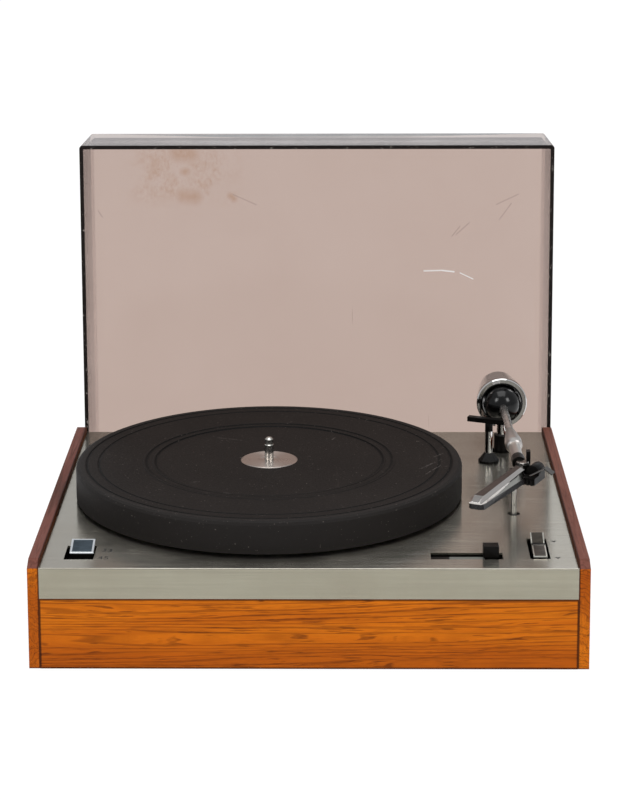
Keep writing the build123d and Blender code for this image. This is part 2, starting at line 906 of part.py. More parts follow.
cradle_x = 158.1
cradle_left = 151.4
cradle_right = 166.8
socket_radius = 5.2
socket_clear = socket_radius + 0.6
cradle_low = post_top - 3.0
cradle_base = 4.0
cradle_y = post_y + 2.3
cradle_front = post_y + 1.6
cradle_top = pivot_z + 8.6
with BuildPart() as cradle:
    with BuildSketch(Plane.XY.offset(cradle_low)):
        with Locations((middle((cradle_left, cradle_right)), cradle_y)):
            Rectangle(cradle_right - cradle_left, 10.6)
    extrude(amount=cradle_base)
    with BuildSketch(Plane.XZ.offset(-cradle_front)):
        with BuildLine():
            Polyline(
                (cradle_left, cradle_low + cradle_base),
                (cradle_right, cradle_low + cradle_base),
                (cradle_right, cradle_top),
                (cradle_x + socket_clear, cradle_top),
                (cradle_x + socket_clear, pivot_z - 2.0),
                (cradle_x + 3.6, pivot_z - socket_clear),
                (cradle_left, pivot_z - socket_clear),
                close=True,
            )
        make_face()
    extrude(amount=-6.0)
    with Locations((post_x, post_y, cradle_low)):
        Cylinder(post_radius + press_gap, 2 * (post_top - cradle_low), mode=Mode.SUBTRACT)
keep("arm_rest_cradle", cradle.part)

# cue lift: base, cylinder, rod and bar
cue_base_radius = 8.6
cue_base_height = 8.0
cue_tube_radius = 3.2
cue_tube_top = pivot_z - 13.8
cue_base_rim = 2.0
base_taper = 34
with BuildPart() as cue_base:
    with BuildSketch(Plane.XY.offset(deck_top)):
        with Locations((cue_x, cue_y)):
            RegularPolygon(cue_base_radius, 12)
            with PolarLocations(cue_base_radius + 0.4, 6):
                Circle(1.3, mode=Mode.SUBTRACT)
    extrude(amount=cue_base_rim)
    with BuildSketch(Plane.XY.offset(deck_top + cue_base_rim)):
        with Locations((cue_x, cue_y)):
            RegularPolygon(cue_base_radius - 0.4, 8)
    extrude(amount=cue_base_height - cue_base_rim, taper=base_taper)
    with Locations((cue_x, cue_y, deck_top)):
        Cylinder(cue_rod + 0.1, 40.0, mode=Mode.SUBTRACT)
keep("cue_lift_base", cue_base.part)

with BuildPart() as cue_tube:
    with BuildSketch(Plane.XY.offset(deck_top + cue_base_height)):
        with Locations((cue_x, cue_y)):
            Circle(cue_tube_radius)
            Circle(cue_rod + running_gap, mode=Mode.SUBTRACT)
    extrude(amount=cue_tube_top - deck_top - cue_base_height)
keep("cue_lift_tube", cue_tube.part)

bar_top = pivot_z - tube_radius - 0.6
bar_height = 3.8
bar_width = 5.6
bar_left = (126.8, 93.0)
bar_right = (160.5, 79.6)
bar_angle = degrees(atan2(bar_right[1] - bar_left[1], bar_right[0] - bar_left[0]))
bar_length = hypot(bar_right[0] - bar_left[0], bar_right[1] - bar_left[1])
bar_middle = ((bar_left[0] + bar_right[0]) / 2, (bar_left[1] + bar_right[1]) / 2)
hub_gap = 0.4
rod_low = deck_under - 6.0
with BuildPart() as cue_bar:
    with BuildSketch(Plane.XY.offset(bar_top - bar_height)):
        with Locations(Location(bar_middle, bar_angle)):
            Rectangle(bar_length, bar_width)
    extrude(amount=bar_height)
    with BuildSketch(Plane.XY.offset(cue_tube_top + hub_gap)):
        with Locations((cue_x, cue_y)):
            Circle(cue_tube_radius - 0.1)
    extrude(amount=bar_top - bar_height - cue_tube_top - hub_gap)
    with BuildSketch(Plane.XY.offset(rod_low)):
        with Locations((cue_x, cue_y)):
            Circle(cue_rod)
    extrude(amount=cue_tube_top + 1.0 - rod_low)
keep("cue_lift_bar", cue_bar.part)

# arm pedestal on the chassis
pedestal_top = deck_top + 13.6
pedestal_foot = 4.0
pedestal_foot_radius = 14.0
arm_shaft = 3.0
with BuildPart() as pedestal:
    with BuildSketch(Plane.XY.offset(chassis_top)):
        with Locations((pivot_x, pivot_y)):
            Circle(pedestal_foot_radius)
            Circle(arm_shaft + running_gap, mode=Mode.SUBTRACT)
    extrude(amount=pedestal_foot)
    with BuildSketch(Plane.XY.offset(chassis_top + pedestal_foot)):
        with Locations((pivot_x, pivot_y)):
            Circle(pedestal_radius)
            Circle(arm_shaft + running_gap, mode=Mode.SUBTRACT)
    extrude(amount=pedestal_top - chassis_top - pedestal_foot)
keep("arm_pedestal", pedestal.part)

# turning column of the arm with its tilt pin
column_radius = 4.1
pin_radius = 1.5
pin_reach = 9.0
slot_half = 5.2
column_low = chassis_low - 2.0
with BuildPart() as column:
    with BuildSketch(Plane.XY.offset(column_low)):
        with Locations((pivot_x, pivot_y)):
            Circle(arm_shaft)
    extrude(amount=pedestal_top + joint_gap - column_low)
    with BuildSketch(Plane.XY.offset(pedestal_top + joint_gap)):
        with Locations((pivot_x, pivot_y)):
            Circle(column_radius)
    extrude(amount=pivot_z - 4.0 - pedestal_top - joint_gap)
    with Locations((pivot_x, pivot_y, pivot_z)):
        Cylinder(column_radius, 8.0)
        Cylinder(pin_radius + press_gap, 4 * pin_reach, rotation=(0, 90, 0), mode=Mode.SUBTRACT)
keep("arm_column", column.part)

with BuildPart() as tilt_pin:
    with Locations((pivot_x, pivot_y, pivot_z)):
        Cylinder(pin_radius, 2 * pin_reach, rotation=(0, 90, 0))
keep("tilt_pin", tilt_pin.part)

# arm frame: forward along the arm at rest, as seen from above
rest_yaw = degrees(atan2(157.9 - pivot_x, pivot_y + 27.2))
stub_radius = 4.0


def across(distance):
    # plane square to the arm, its normal pointing to the headshell
    ahead = (sin(radians(rest_yaw)), -cos(radians(rest_yaw)), 0)
    where = (pivot_x + distance * ahead[0], pivot_y + distance * ahead[1], pivot_z)
    return Plane(origin=where, x_dir=(-ahead[1], ahead[0], 0), z_dir=ahead)


# ball shell of the arm, hollow, open below for the column
ball_wall = 2.0
lug_radius = 4.0
lug_inner = 5.8
lug_outer = ball_radius - 1.2
lug_middle = middle((lug_inner, lug_outer))
lug_width = lug_outer - lug_inner
seat_start = 6.0
seat_length = 12.0
tube_start = ball_radius - 1.5
with BuildPart() as ball:
    with Locations((pivot_x, pivot_y, pivot_z)):
        Sphere(ball_radius)
        Sphere(ball_radius - ball_wall, mode=Mode.SUBTRACT)
    # bearing lugs inside the shell on both sides of the column
    with Locations((pivot_x - lug_middle, pivot_y, pivot_z), (pivot_x + lug_middle, pivot_y, pivot_z)):
        Cylinder(lug_radius, lug_width, rotation=(0, 90, 0))
    with Locations((pivot_x, pivot_y, pivot_z)):
        Cylinder(pin_radius + running_gap, 2 * lug_middle, rotation=(0, 90, 0), mode=Mode.SUBTRACT)
    # opening below, wide enough for the tilt
    with BuildSketch(Plane.XY.offset(pivot_z - ball_radius - 1.0)):
        with Locations((pivot_x, pivot_y)):
            Rectangle(2 * slot_half, 14.0)
    extrude(amount=ball_radius - 2.0, mode=Mode.SUBTRACT)
    # seats of the tube in front and the stub behind
    with BuildSketch(across(seat_start)):
        Circle(tube_radius)
    extrude(amount=seat_length, mode=Mode.SUBTRACT)
    with BuildSketch(across(-seat_start)):
        Circle(stub_radius)
    extrude(amount=-seat_length, mode=Mode.SUBTRACT)
keep("arm_ball", ball.part)

tube_end = 159.9
tube_wall = 0.8
with BuildPart() as arm_tube:
    with BuildSketch(across(tube_start)):
        Circle(tube_radius)
        Circle(tube_radius - tube_wall, mode=Mode.SUBTRACT)
    extrude(amount=tube_end - tube_start)
keep("arm_tube", arm_tube.part)

# rear stub that carries the counterweight
stub_length = 34.0
with BuildPart() as stub:
    with BuildSketch(across(-(ball_radius - ball_wall + 0.6))):
        Circle(stub_radius)
    extrude(amount=-(stub_length - ball_radius + ball_wall))
    with BuildSketch(across(-(stub_length - 1.0))):
        Circle(2.2)
    extrude(amount=-3.0)
keep("balance_stub", stub.part)

# counterweight: a tapered bright cup round the back of the ball
cup_front = 1.0
cup_length = 41.0
cup_outer = ball_radius + 6.2
cup_mouth = ball_radius + 1.4
cup_back = ball_radius + 1.2
stub_bore = stub_radius + 0.06
notch_half = column_radius + 1.0
notch_run = 9.0
notch_above = 12.0
with BuildPart() as weight:
    with BuildSketch(Plane.XZ):
        with BuildLine():
            Polyline(
                (cup_mouth, 0.9),
                (cup_mouth + 1.4, 0),
                (cup_outer - 0.7, 0),
                (cup_outer, 0.8),
                (cup_outer, 5.2),
                (cup_outer - 0.5, 5.6),
                (cup_back + 0.4, cup_length - 1.0),
                (cup_back - 0.6, cup_length),
                (0, cup_length),
                (0, cup_length - 2.4),
                (stub_bore, cup_length - 2.4),
                (stub_bore, 24.0),
                (stub_radius + 6.0, 24.0),
                (ball_radius + 0.8, 16.0),
                close=True,
            )
        make_face()
    revolve(axis=Axis.Z)
    # notch below, so that the cup clears the column when the arm tilts
    with Locations((0, cup_outer, notch_run / 2)):
        Box(2 * notch_half, 2 * (cup_outer - notch_above), notch_run, mode=Mode.SUBTRACT)
cup_plane = across(-cup_front)
weight_place = Plane(origin=cup_plane.origin, x_dir=cup_plane.x_dir, z_dir=-cup_plane.z_dir)
keep("counterweight", weight.part.moved(weight_place.location))

# bright collar on the tube ahead of the pivot
tube_bore = tube_radius + press_gap
collar_start = 79.0
collar_end = 148.9
collar_radius = 6.6
sleeve_radius = 4.4
collar_profile = [
    (tube_bore, collar_start),
    (tube_radius + 0.45, collar_start),
    (collar_radius, collar_start + 28.0),
    (collar_radius, collar_start + 37.0),
    (collar_radius - 1.0, collar_start + 40.0),
    (sleeve_radius, collar_start + 40.6),
    (sleeve_radius, collar_end),
    (tube_bore, collar_end),
]
with BuildPart() as arm_collar:
    with BuildSketch(Plane.XZ):
        with BuildLine():
            Polyline(*collar_profile, close=True)
        make_face()
    revolve(axis=Axis.Z)
keep("arm_collar", arm_collar.part.moved(across(0).location))

# headshell frame: from the clamp screw forward, turned by the offset angle
shell_ahead = (-sin(radians(shell_angle)), -cos(radians(shell_angle)), 0)


def shell_plane(distance, height):
    where = (shell_x + distance * shell_ahead[0], shell_y + distance * shell_ahead[1], height)
    return Plane(origin=where, x_dir=(-shell_ahead[1], shell_ahead[0], 0), z_dir=shell_ahead)


def shell_flat(height):
    return Plane(origin=(shell_x, shell_y, height), x_dir=shell_ahead, z_dir=(0, 0, 1))


# black socket at the end of the tube, with the boss under the clamp screw
socket_start = collar_end + 0.1
socket_end = 162.0
socket_profile = [
    (tube_bore, socket_start),
    (socket_radius - 0.6, socket_start),
    (socket_radius, socket_start + 1.5),
    (socket_radius, socket_end),
    (tube_bore, socket_end),
]
boss_radius = 5.6
boss_low = shell_low + 1.0
with BuildPart() as socket_ring:
    with BuildSketch(Plane.XZ):
        with BuildLine():
            Polyline(*socket_profile, close=True)
        make_face()
    revolve(axis=Axis.Z)
socket_ring = socket_ring.part.moved(across(0).location)

with BuildPart() as boss:
    with BuildSketch(Plane.XY.offset(boss_low)):
        with Locations((shell_x, shell_y)):
            Circle(boss_radius)
    extrude(amount=shell_top - boss_low)
    with BuildSketch(across(socket_end + seat_gap)):
        Circle(2 * boss_radius)
    extrude(amount=-20.0, mode=Mode.SUBTRACT)
    with BuildSketch(across(tube_end + 0.1)):
        Circle(tube_radius)
    extrude(amount=2.2)
    add(socket_ring)
keep("arm_socket", boss.part)

clamp_radius = 4.8
clamp_height = 1.6
slot_turn = 20
with BuildPart() as clamp_screw:
    with BuildSketch(Plane.XY.offset(shell_top)):
        with Locations((shell_x, shell_y)):
            Circle(clamp_radius)
    extrude(amount=clamp_height)
    chamfer(clamp_screw.edges().group_by(Axis.Z)[-1], 0.4)
    with BuildSketch(Plane.XY.offset(shell_top + clamp_height / 2)):
        with Locations(Location((shell_x, shell_y), slot_turn)):
            Rectangle(7.0, 1.0)
    extrude(amount=clamp_height, mode=Mode.SUBTRACT)
keep("clamp_screw", clamp_screw.part)


# headshell: dark lower body and bright faceted cover above it
def shell_section(half, low, high, crown):
    waist = (low + high) / 2
    right = ((half, low), (half, waist), (crown, high))
    left = ((-crown, high), (-half, waist), (-half, low))
    Polygon(*right, *left, align=None)


cover_start = boss_radius + 0.1
cover_height = shell_top - shell_mid
nose_start = shell_length - 7.0
crown_half = 3.4
with BuildPart() as shell_cover:
    with BuildSketch(shell_plane(cover_start, shell_mid)):
        shell_section(4.6, 0, cover_height, crown_half - 1.0)
    with BuildSketch(shell_plane(nose_start, shell_mid)):
        shell_section(shell_half, 0, cover_height, crown_half)
    loft()
    with BuildSketch(shell_plane(nose_start, shell_mid)):
        shell_section(shell_half, 0, cover_height, crown_half)
    with BuildSketch(shell_plane(shell_length, shell_mid)):
        shell_section(shell_half - 1.6, 0, 1.6, 3.0)
    loft()
keep("headshell_cover", shell_cover.part)

body_half = 3.9
with BuildPart() as shell_body:
    with BuildSketch(shell_flat(shell_low)):
        with BuildLine():
            Polyline(
                (cover_start, -body_half),
                (shell_length - 2.0, -shell_half + 0.8),
                (shell_length, -crown_half),
                (shell_length, crown_half),
                (shell_length - 2.0, shell_half - 0.8),
                (cover_start, body_half),
                close=True,
            )
        make_face()
    extrude(amount=shell_mid - shell_low)
    # a shallow channel along the underside for the leads
    with BuildSketch(shell_flat(shell_low)):
        with Locations((35.0, 0)):
            Rectangle(30.0, 3.0)
    extrude(amount=1.2, mode=Mode.SUBTRACT)
    # notch at the front edge
    with BuildSketch(shell_flat(shell_low)):
        with Locations((shell_length, -1.2)):
            Rectangle(2.4, 2.0)
    extrude(amount=1.6, mode=Mode.SUBTRACT)
keep("headshell_body", shell_body.part)

# black housing with a domed top beside the clamp screw
dome_side = (5.8, 16.2)
dome_run = (-5.2, 7.2)
dome_foot = 16.0
dome_foot_top = pivot_z - 3.9
dome_low = pivot_z - 9.2
dome_radius = span(dome_side) / 2
dome_wall = pivot_z + 3.1 - dome_radius - dome_low
with BuildPart() as dome:
    with BuildSketch(shell_plane(dome_run[0], dome_low)):
        with Locations((middle(dome_side), dome_wall / 2)):
            Rectangle(span(dome_side), dome_wall)
        with Locations((middle(dome_side), dome_wall)):
            Circle(dome_radius)
    extrude(amount=span(dome_run))
    # lower foot that reaches forward, with ribs on its front face
    with BuildSketch(shell_flat(dome_low)):
        with Locations(((dome_run[0] + dome_foot) / 2, middle(dome_side))):
            Rectangle(dome_foot - dome_run[0], span(dome_side))
    extrude(amount=dome_foot_top - dome_low)
    with BuildSketch(shell_flat(dome_low)):
        with Locations((dome_foot + 0.7, middle(dome_side))):
            with GridLocations(0, 3.2, 1, 3):
                Rectangle(1.6, 1.6)
    extrude(amount=4.0)
keep("headshell_housing", dome.part)

# finger lift: wire and tab
wire_start = (164.6, -72.0, pivot_z - 1.4)
tab_height = pivot_z + 0.8
tab_corners = [(175.4, -62.2, tab_height), (178.0, -55.0, tab_height)]
tab_step = (6.3, 0.6, -5.2)
tab_half = 0.4
lift_wire = 0.55
with BuildPart() as finger_lift:
    with BuildLine() as lift_line:
        Line(wire_start, tab_corners[0])
    with BuildSketch(Plane(lift_line.line @ 0, z_dir=lift_line.line % 0)):
        Circle(lift_wire)
    sweep()
    corners = [Vector(*tab_corners[0]), Vector(*tab_corners[1]),
               Vector(*tab_corners[1]) + Vector(*tab_step), Vector(*tab_corners[0]) + Vector(*tab_step)]
    tab_plane = Plane(origin=corners[0], x_dir=corners[1] - corners[0],
                      z_dir=(corners[1] - corners[0]).cross(corners[3] - corners[0]))
    with BuildSketch(tab_plane):
        with BuildLine():
            Polyline(*[tuple(tab_plane.to_local_coords(c))[:2] for c in corners], close=True)
        make_face()
    extrude(amount=tab_half, both=True)
keep("finger_lift", finger_lift.part)

# cartridge stylus holder in ivory, and the stylus
holder_run = 60.0
holder_depth = 2.6
with BuildPart() as holder:
    with BuildSketch(shell_flat(shell_low)):
        with Locations((holder_run, 0)):
            Rectangle(11.0, 7.0)
    extrude(amount=-holder_depth, taper=12)
keep("stylus_holder", holder.part)

tip_x = shell_x + holder_run * shell_ahead[0]
tip_y = shell_y + holder_run * shell_ahead[1]
with BuildPart() as stylus:
    with Locations((tip_x, tip_y, shell_low - holder_depth)):
        Cone(0.15, 0.5, 1.1, align=(Align.CENTER, Align.CENTER, Align.MAX))
keep("stylus", stylus.part)

# dust cover, standing on the table close behind the plinth
cover_front = half_depth + cover_gap
cover_draft = 1.95
corner_radius = 2.6
least_radius = 0.8


def cover_plane(depth):
    return Plane.XZ.offset(-cover_front - depth)


def cover_outline(inset, draft):
    wide = cover_width - 2 * inset - 2 * draft
    tall = cover_length - 2 * inset - draft
    with Locations((cover_shift, inset + tall / 2)):
        RectangleRounded(wide, tall, max(corner_radius - inset, least_radius))


with BuildPart() as dust_cover:
    with BuildSketch(cover_plane(0)):
        cover_outline(0, 0)
    with BuildSketch(cover_plane(cover_depth)):
        cover_outline(0, cover_draft)
    loft()
    with BuildSketch(cover_plane(-0.5)):
        cover_outline(cover_wall, 0)
    with BuildSketch(cover_plane(cover_depth - cover_wall)):
        cover_outline(cover_wall, cover_draft)
    loft(mode=Mode.SUBTRACT)
keep("dust_cover", dust_cover.part)

# the row's origin is the middle of the whole outline, with the cover behind
origin_y = (cover_front + cover_depth - half_depth) / 2
for label, piece in pieces.items():
    placed = piece.moved(Location((0, -origin_y, 0)))
    placed.label = label
    export_step(placed, "parts/" + label + ".step")
print(len(pieces), "pieces")
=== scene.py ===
import math

import bpy
from mathutils import Matrix, Vector


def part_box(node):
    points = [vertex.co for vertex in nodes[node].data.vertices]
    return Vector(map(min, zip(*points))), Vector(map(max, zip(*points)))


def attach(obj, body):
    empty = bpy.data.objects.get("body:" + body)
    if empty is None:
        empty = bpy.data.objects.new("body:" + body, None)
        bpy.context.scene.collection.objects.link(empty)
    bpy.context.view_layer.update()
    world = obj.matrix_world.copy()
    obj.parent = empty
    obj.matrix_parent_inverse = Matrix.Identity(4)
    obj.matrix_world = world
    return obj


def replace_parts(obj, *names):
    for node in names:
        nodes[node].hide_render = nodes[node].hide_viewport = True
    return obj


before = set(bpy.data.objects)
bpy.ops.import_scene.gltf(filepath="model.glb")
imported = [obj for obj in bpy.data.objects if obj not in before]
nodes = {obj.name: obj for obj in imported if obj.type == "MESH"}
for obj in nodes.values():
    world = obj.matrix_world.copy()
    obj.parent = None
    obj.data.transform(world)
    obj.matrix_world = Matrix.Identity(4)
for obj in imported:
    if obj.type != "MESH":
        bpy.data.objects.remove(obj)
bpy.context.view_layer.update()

scene = bpy.context.scene


def middle_of(node):
    low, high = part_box(node)
    return tuple((a + b) / 2 for a, b in zip(low, high))


# ---- places taken from the CAD nodes, in metres
PLATTER = middle_of("centre_disc")
DECK_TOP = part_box("deck_plate")[1][2]
LIP_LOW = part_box("deck_plate")[0][2]
PANEL_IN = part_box("right_side_panel")[0][0]
WOOD_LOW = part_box("front_board")[0][2]
COVER_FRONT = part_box("dust_cover")[0][1]
COVER_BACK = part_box("dust_cover")[1][1]
KNOB_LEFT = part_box("start_knob")[0][0]
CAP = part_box("speed_key_cap")
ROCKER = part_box("cue_lever")


# ---- node helpers
class Tree:
    """The shader nodes of one material, or of the world."""

    def __init__(self, owner, output="ShaderNodeOutputMaterial"):
        owner.use_nodes = True
        self.owner = owner
        self.tree = owner.node_tree
        self.tree.nodes.clear()
        self.out = self.add(output)

    def add(self, kind, **props):
        node = self.tree.nodes.new(kind)
        for key, value in props.items():
            setattr(node, key, value)
        return node

    def put(self, node, socket, value):
        """Link a socket to value, or set it."""
        target = node.inputs[socket]
        if isinstance(value, bpy.types.NodeSocket):
            self.tree.links.new(value, target)
        elif hasattr(value, "__len__") and len(value) == 3 and target.type == "RGBA":
            target.default_value = (*value, 1.0)
        else:
            target.default_value = value

    def build(self, kind, sockets, **props):
        """Add a node and fill the sockets that are named."""
        node = self.add(kind, **props)
        for socket, value in sockets.items():
            self.put(node, socket, value)
        return node

    def coords(self, scale=(1, 1, 1), shift=(0, 0, 0), turn=(0, 0, 0)):
        """Object coordinates, scaled, moved and turned."""
        tex = self.add("ShaderNodeTexCoord")
        mapping = self.build("ShaderNodeMapping", {
            "Vector": tex.outputs["Object"], "Location": shift, "Rotation": turn, "Scale": scale,
        })
        return mapping.outputs[0]

    def noise(self, vector, scale, detail=4.0, rough=0.55, distort=0.0):
        n = self.build("ShaderNodeTexNoise", {
            "Vector": vector, "Scale": scale, "Detail": detail, "Roughness": rough,
            "Distortion": distort,
        })
        return n.outputs["Fac"]

    def ramp(self, value, stops):
        r = self.build("ShaderNodeValToRGB", {"Fac": value})
        band = r.color_ramp
        while len(band.elements) < len(stops):
            band.elements.new(0.5)
        for element, (place, colour) in zip(band.elements, stops):
            element.position = place
            if not hasattr(colour, "__len__"):
                colour = (colour, colour, colour)
            element.color = (*colour, 1.0)
        return r.outputs["Color"]

    def fit(self, value, low, high, to_low=0.0, to_high=1.0):
        """Bring low..high to to_low..to_high."""
        m = self.build("ShaderNodeMapRange", {
            "Value": value, "From Min": low, "From Max": high, "To Min": to_low, "To Max": to_high,
        })
        return m.outputs[0]

    def spread(self, noise, to_low, to_high):
        """Bring the middle part of a noise to to_low..to_high."""
        return self.fit(noise, 0.3, 0.7, to_low, to_high)

    def math(self, op, a, b=0.0, clamp=False):
        return self.build("ShaderNodeMath", {0: a, 1: b}, operation=op, use_clamp=clamp).outputs[0]

    def times(self, a, b):
        return self.math("MULTIPLY", a, b)

    def mix(self, factor, a, b, blend="MIX"):
        """Mix of two colours."""
        a, b = (c if isinstance(c, bpy.types.NodeSocket) else (*c, 1.0) for c in (a, b))
        m = self.build("ShaderNodeMix", {0: factor, 6: a, 7: b}, data_type="RGBA", blend_type=blend)
        return m.outputs[2]

    def shaded(self, colour, value, stops):
        """The colour times a grey ramp."""
        return self.mix(1.0, colour, self.ramp(value, stops), "MULTIPLY")

    def blend(self, factor, first, second):
        """Mix of two shaders."""
        return self.build("ShaderNodeMixShader", {0: factor, 1: first, 2: second}).outputs[0]

    def bump(self, height, strength, distance):
        b = self.build("ShaderNodeBump", {
            "Height": height, "Strength": strength, "Distance": distance,
        })
        return b.outputs[0]

    def split(self, source):
        """Texture coordinates of one kind, as three numbers."""
        value = self.add("ShaderNodeTexCoord").outputs[source]
        return self.build("ShaderNodeSeparateXYZ", {0: value}).outputs

    def place(self):
        return self.split("Object")

    def facing_up(self, low, high):
        """One on faces that look up, zero on the others."""
        return self.fit(self.split("Normal")[2], low, high)

    def close(self, value, target, inner, outer):
        """One where value is near target, fading to zero."""
        away = self.math("ABSOLUTE", self.math("SUBTRACT", value, target))
        return self.fit(away, inner, outer, 1.0, 0.0)

    def radius(self):
        """Distance from the platter's axis."""
        flat = self.coords((1, 1, 0), (-PLATTER[0], -PLATTER[1], 0))
        length = self.build("ShaderNodeVectorMath", {0: flat}, operation="LENGTH")
        return length.outputs["Value"]

    def most(self, values):
        top = values[0]
        for value in values[1:]:
            top = self.math("MAXIMUM", top, value)
        return top

    def stroke(self, u, v, start, end, half, soft):
        """One on a thin line from start to end."""
        du, dv = end[0] - start[0], end[1] - start[1]
        span = du * du + dv * dv
        pu = self.math("SUBTRACT", u, start[0])
        pv = self.math("SUBTRACT", v, start[1])
        along = self.math("ADD", self.times(pu, du / span), self.times(pv, dv / span))
        along = self.math("MINIMUM", self.math("MAXIMUM", along, 0.0), 1.0)
        eu = self.math("SUBTRACT", pu, self.times(along, du))
        ev = self.math("SUBTRACT", pv, self.times(along, dv))
        away = self.math("SQRT", self.math("ADD", self.times(eu, eu), self.times(ev, ev)))
        return self.fit(away, half, half + soft, 1.0, 0.0)

    def surface(self, **values):
        named = {key.replace("_", " "): value for key, value in values.items()}
        self.put(self.out, 0, self.build("ShaderNodeBsdfPrincipled", named).outputs[0])
        return self.owner


def new_look(name):
    return Tree(bpy.data.materials.new(name))


# ---- wood: light, middle and dark tone of each sort
TEAK = ((0.66, 0.178, 0.006), (0.46, 0.098, 0.004), (0.085, 0.017, 0.003))
EDGE = ((0.23, 0.092, 0.060), (0.160, 0.060, 0.039), (0.065, 0.024, 0.017))
BOARD = ((0.19, 0.11, 0.06), (0.15, 0.085, 0.045), (0.10, 0.055, 0.03))
PINE = ((0.62, 0.42, 0.22), (0.52, 0.33, 0.16), (0.36, 0.20, 0.09))
# painted shade that darkens the wood where parts meet
SEAM_SHADE_TONE = (0.02, 0.006, 0.003)
RED_PATCH = (0.72, 0.60, 0.9)   # the middle tone times this, in the darker patches
SQUEEZE = 0.040                 # the figure is drawn out by this along the board
SWAY_SCALE, SWAY_REACH = 34, 0.010
LINE_SETTINGS = {
    "Scale": 76.0, "Distortion": 9.0, "Detail": 4.0, "Detail Scale": 0.30,
    "Detail Roughness": 0.62,
}
BROAD_SCALE, PATCH_SCALE = 22, 9
FIBRE_SCALE, PORE_SCALE, SPECK_SCALE = 620.0, 1250.0, 900.0
LINE_DEPTH, FIBRE_DEPTH, PORE_DEPTH, SPECK_DEPTH, PATCH_DEPTH = 0.78, 0.34, 0.62, 0.30, 0.70


def grain(t, along, palette, seed):
    """Long wavy lines, thin fibres and short pores that follow the board."""
    light, mid, dark = palette
    thin = tuple(SQUEEZE if axis == along else 1 for axis in "xyz")

    def slow(scale, shift, *settings):
        return t.noise(t.coords(tuple(k * scale for k in thin), shift), 1.0, *settings)

    # the grain wanders: the coordinates are bent by slow noise
    sway = t.spread(slow(SWAY_SCALE, (seed, seed, seed), 3.0, 0.5), -SWAY_REACH, SWAY_REACH)
    bend = t.build("ShaderNodeCombineXYZ", {0 if along == "z" else 2: sway})
    straight = t.coords(thin, (seed, seed * 0.7, seed * 0.3))
    bent = t.build("ShaderNodeVectorMath", {0: straight, 1: bend.outputs[0]}, operation="ADD")
    bent = bent.outputs[0]
    lines = t.build("ShaderNodeTexWave", {"Vector": bent, **LINE_SETTINGS}, wave_type="BANDS",
                    bands_direction="X" if along == "z" else "Z")
    broad = slow(BROAD_SCALE, (seed, 0, seed), 5.0, 0.6, 1.2)
    patch = slow(PATCH_SCALE, (seed, seed, 1.7), 3.0, 0.5)
    fibre = t.noise(bent, FIBRE_SCALE, 4.0, 0.65)
    pore = t.noise(bent, PORE_SCALE, 2.0, 0.5)
    short = t.coords(tuple(min(k * 3, 1.0) for k in thin), (seed, 0.3, 0.2))
    speck = t.noise(short, SPECK_SCALE, 3.0, 0.7)
    tone = t.ramp(broad, [(0.30, mid), (0.55, light), (0.74, mid)])
    reddish = tuple(k * f for k, f in zip(mid, RED_PATCH))
    tone = t.mix(t.fit(patch, 0.40, 0.62, 0.0, PATCH_DEPTH), tone, reddish)
    line = t.fit(lines.outputs["Fac"], 0.02, 0.26, 1.0, 0.0)
    line = t.times(line, t.fit(broad, 0.36, 0.62, 1.0, 0.35))
    tone = t.mix(t.times(line, LINE_DEPTH), tone, dark)
    tone = t.mix(t.fit(fibre, 0.44, 0.68, 0.0, FIBRE_DEPTH), tone, dark)
    tone = t.mix(t.fit(speck, 0.35, 0.65, 0.0, SPECK_DEPTH), tone, mid)
    pits = t.fit(pore, 0.34, 0.41, 1.0, 0.0)
    tone = t.mix(t.times(pits, PORE_DEPTH), tone, dark)
    height = t.math("SUBTRACT", t.times(fibre, 0.5), t.times(pits, 0.8))
    return tone, height, fibre


def wood(name, along, palette, seed, gloss=0.42, top=None, seam_shade=None):
    """Wood with an own palette on top and painted shade along its joints, where these are given."""
    t = new_look(name)
    tone, height, fibre = grain(t, along, palette, seed)
    if top is not None:
        upper, _, _ = grain(t, along, top, seed + 2.0)
        tone = t.mix(t.facing_up(0.15, 0.45), tone, upper)
    if seam_shade is not None:
        # painted shade darkens the wood where parts meet
        tone = t.mix(t.times(seam_shade(t), 0.85), tone, SEAM_SHADE_TONE)
    return t.surface(Base_Color=tone, Roughness=t.spread(fibre, gloss - 0.05, gloss + 0.12),
                     Normal=t.bump(height, 0.4, 0.0004), Specular_IOR_Level=0.07)


def front_seam_shade(t):
    """Shade under the lip, at the foot and beside the side panels."""
    x, _, z = t.place()
    return t.most([
        t.close(z, LIP_LOW, 0.0009, 0.0019),
        t.close(z, WOOD_LOW, 0.0007, 0.0018),
        t.close(t.math("ABSOLUTE", x), PANEL_IN, 0.0005, 0.0013),
    ])


def panel_seam_shade(t):
    """Shade along the panels' inner face and foot."""
    x, _, z = t.place()
    return t.most([
        t.close(t.math("ABSOLUTE", x), PANEL_IN, 0.0006, 0.0013),
        t.close(z, WOOD_LOW, 0.0004, 0.0012),
    ])


front_wood = wood("front_wood", "x", TEAK, 0.0, seam_shade=front_seam_shade)
side_wood = wood("side_wood", "y", TEAK, 3.1, 0.5, EDGE, panel_seam_shade)
fibreboard = wood("fibreboard", "x", BOARD, 7.7, 0.75)
pine = wood("pine", "z", PINE, 5.3, 0.65)


# ---- metals
DECK_TONE = (0.47, 0.445, 0.385)
DECK_DIRT = (0.40, 0.365, 0.31)
# painted shade for the deck's front lip
LIP_SHADE_TINT = (0.83, 0.830, 0.745)
# where the painted shade on the deck's top begins and where it is strongest
SHADE_START, SHADE_END = -0.105, -0.165   # x, in metres
FINE_BRUSHING = (14.0, 900.0, 900.0)
BROAD_BRUSHING = (4.0, 340.0, 340.0)


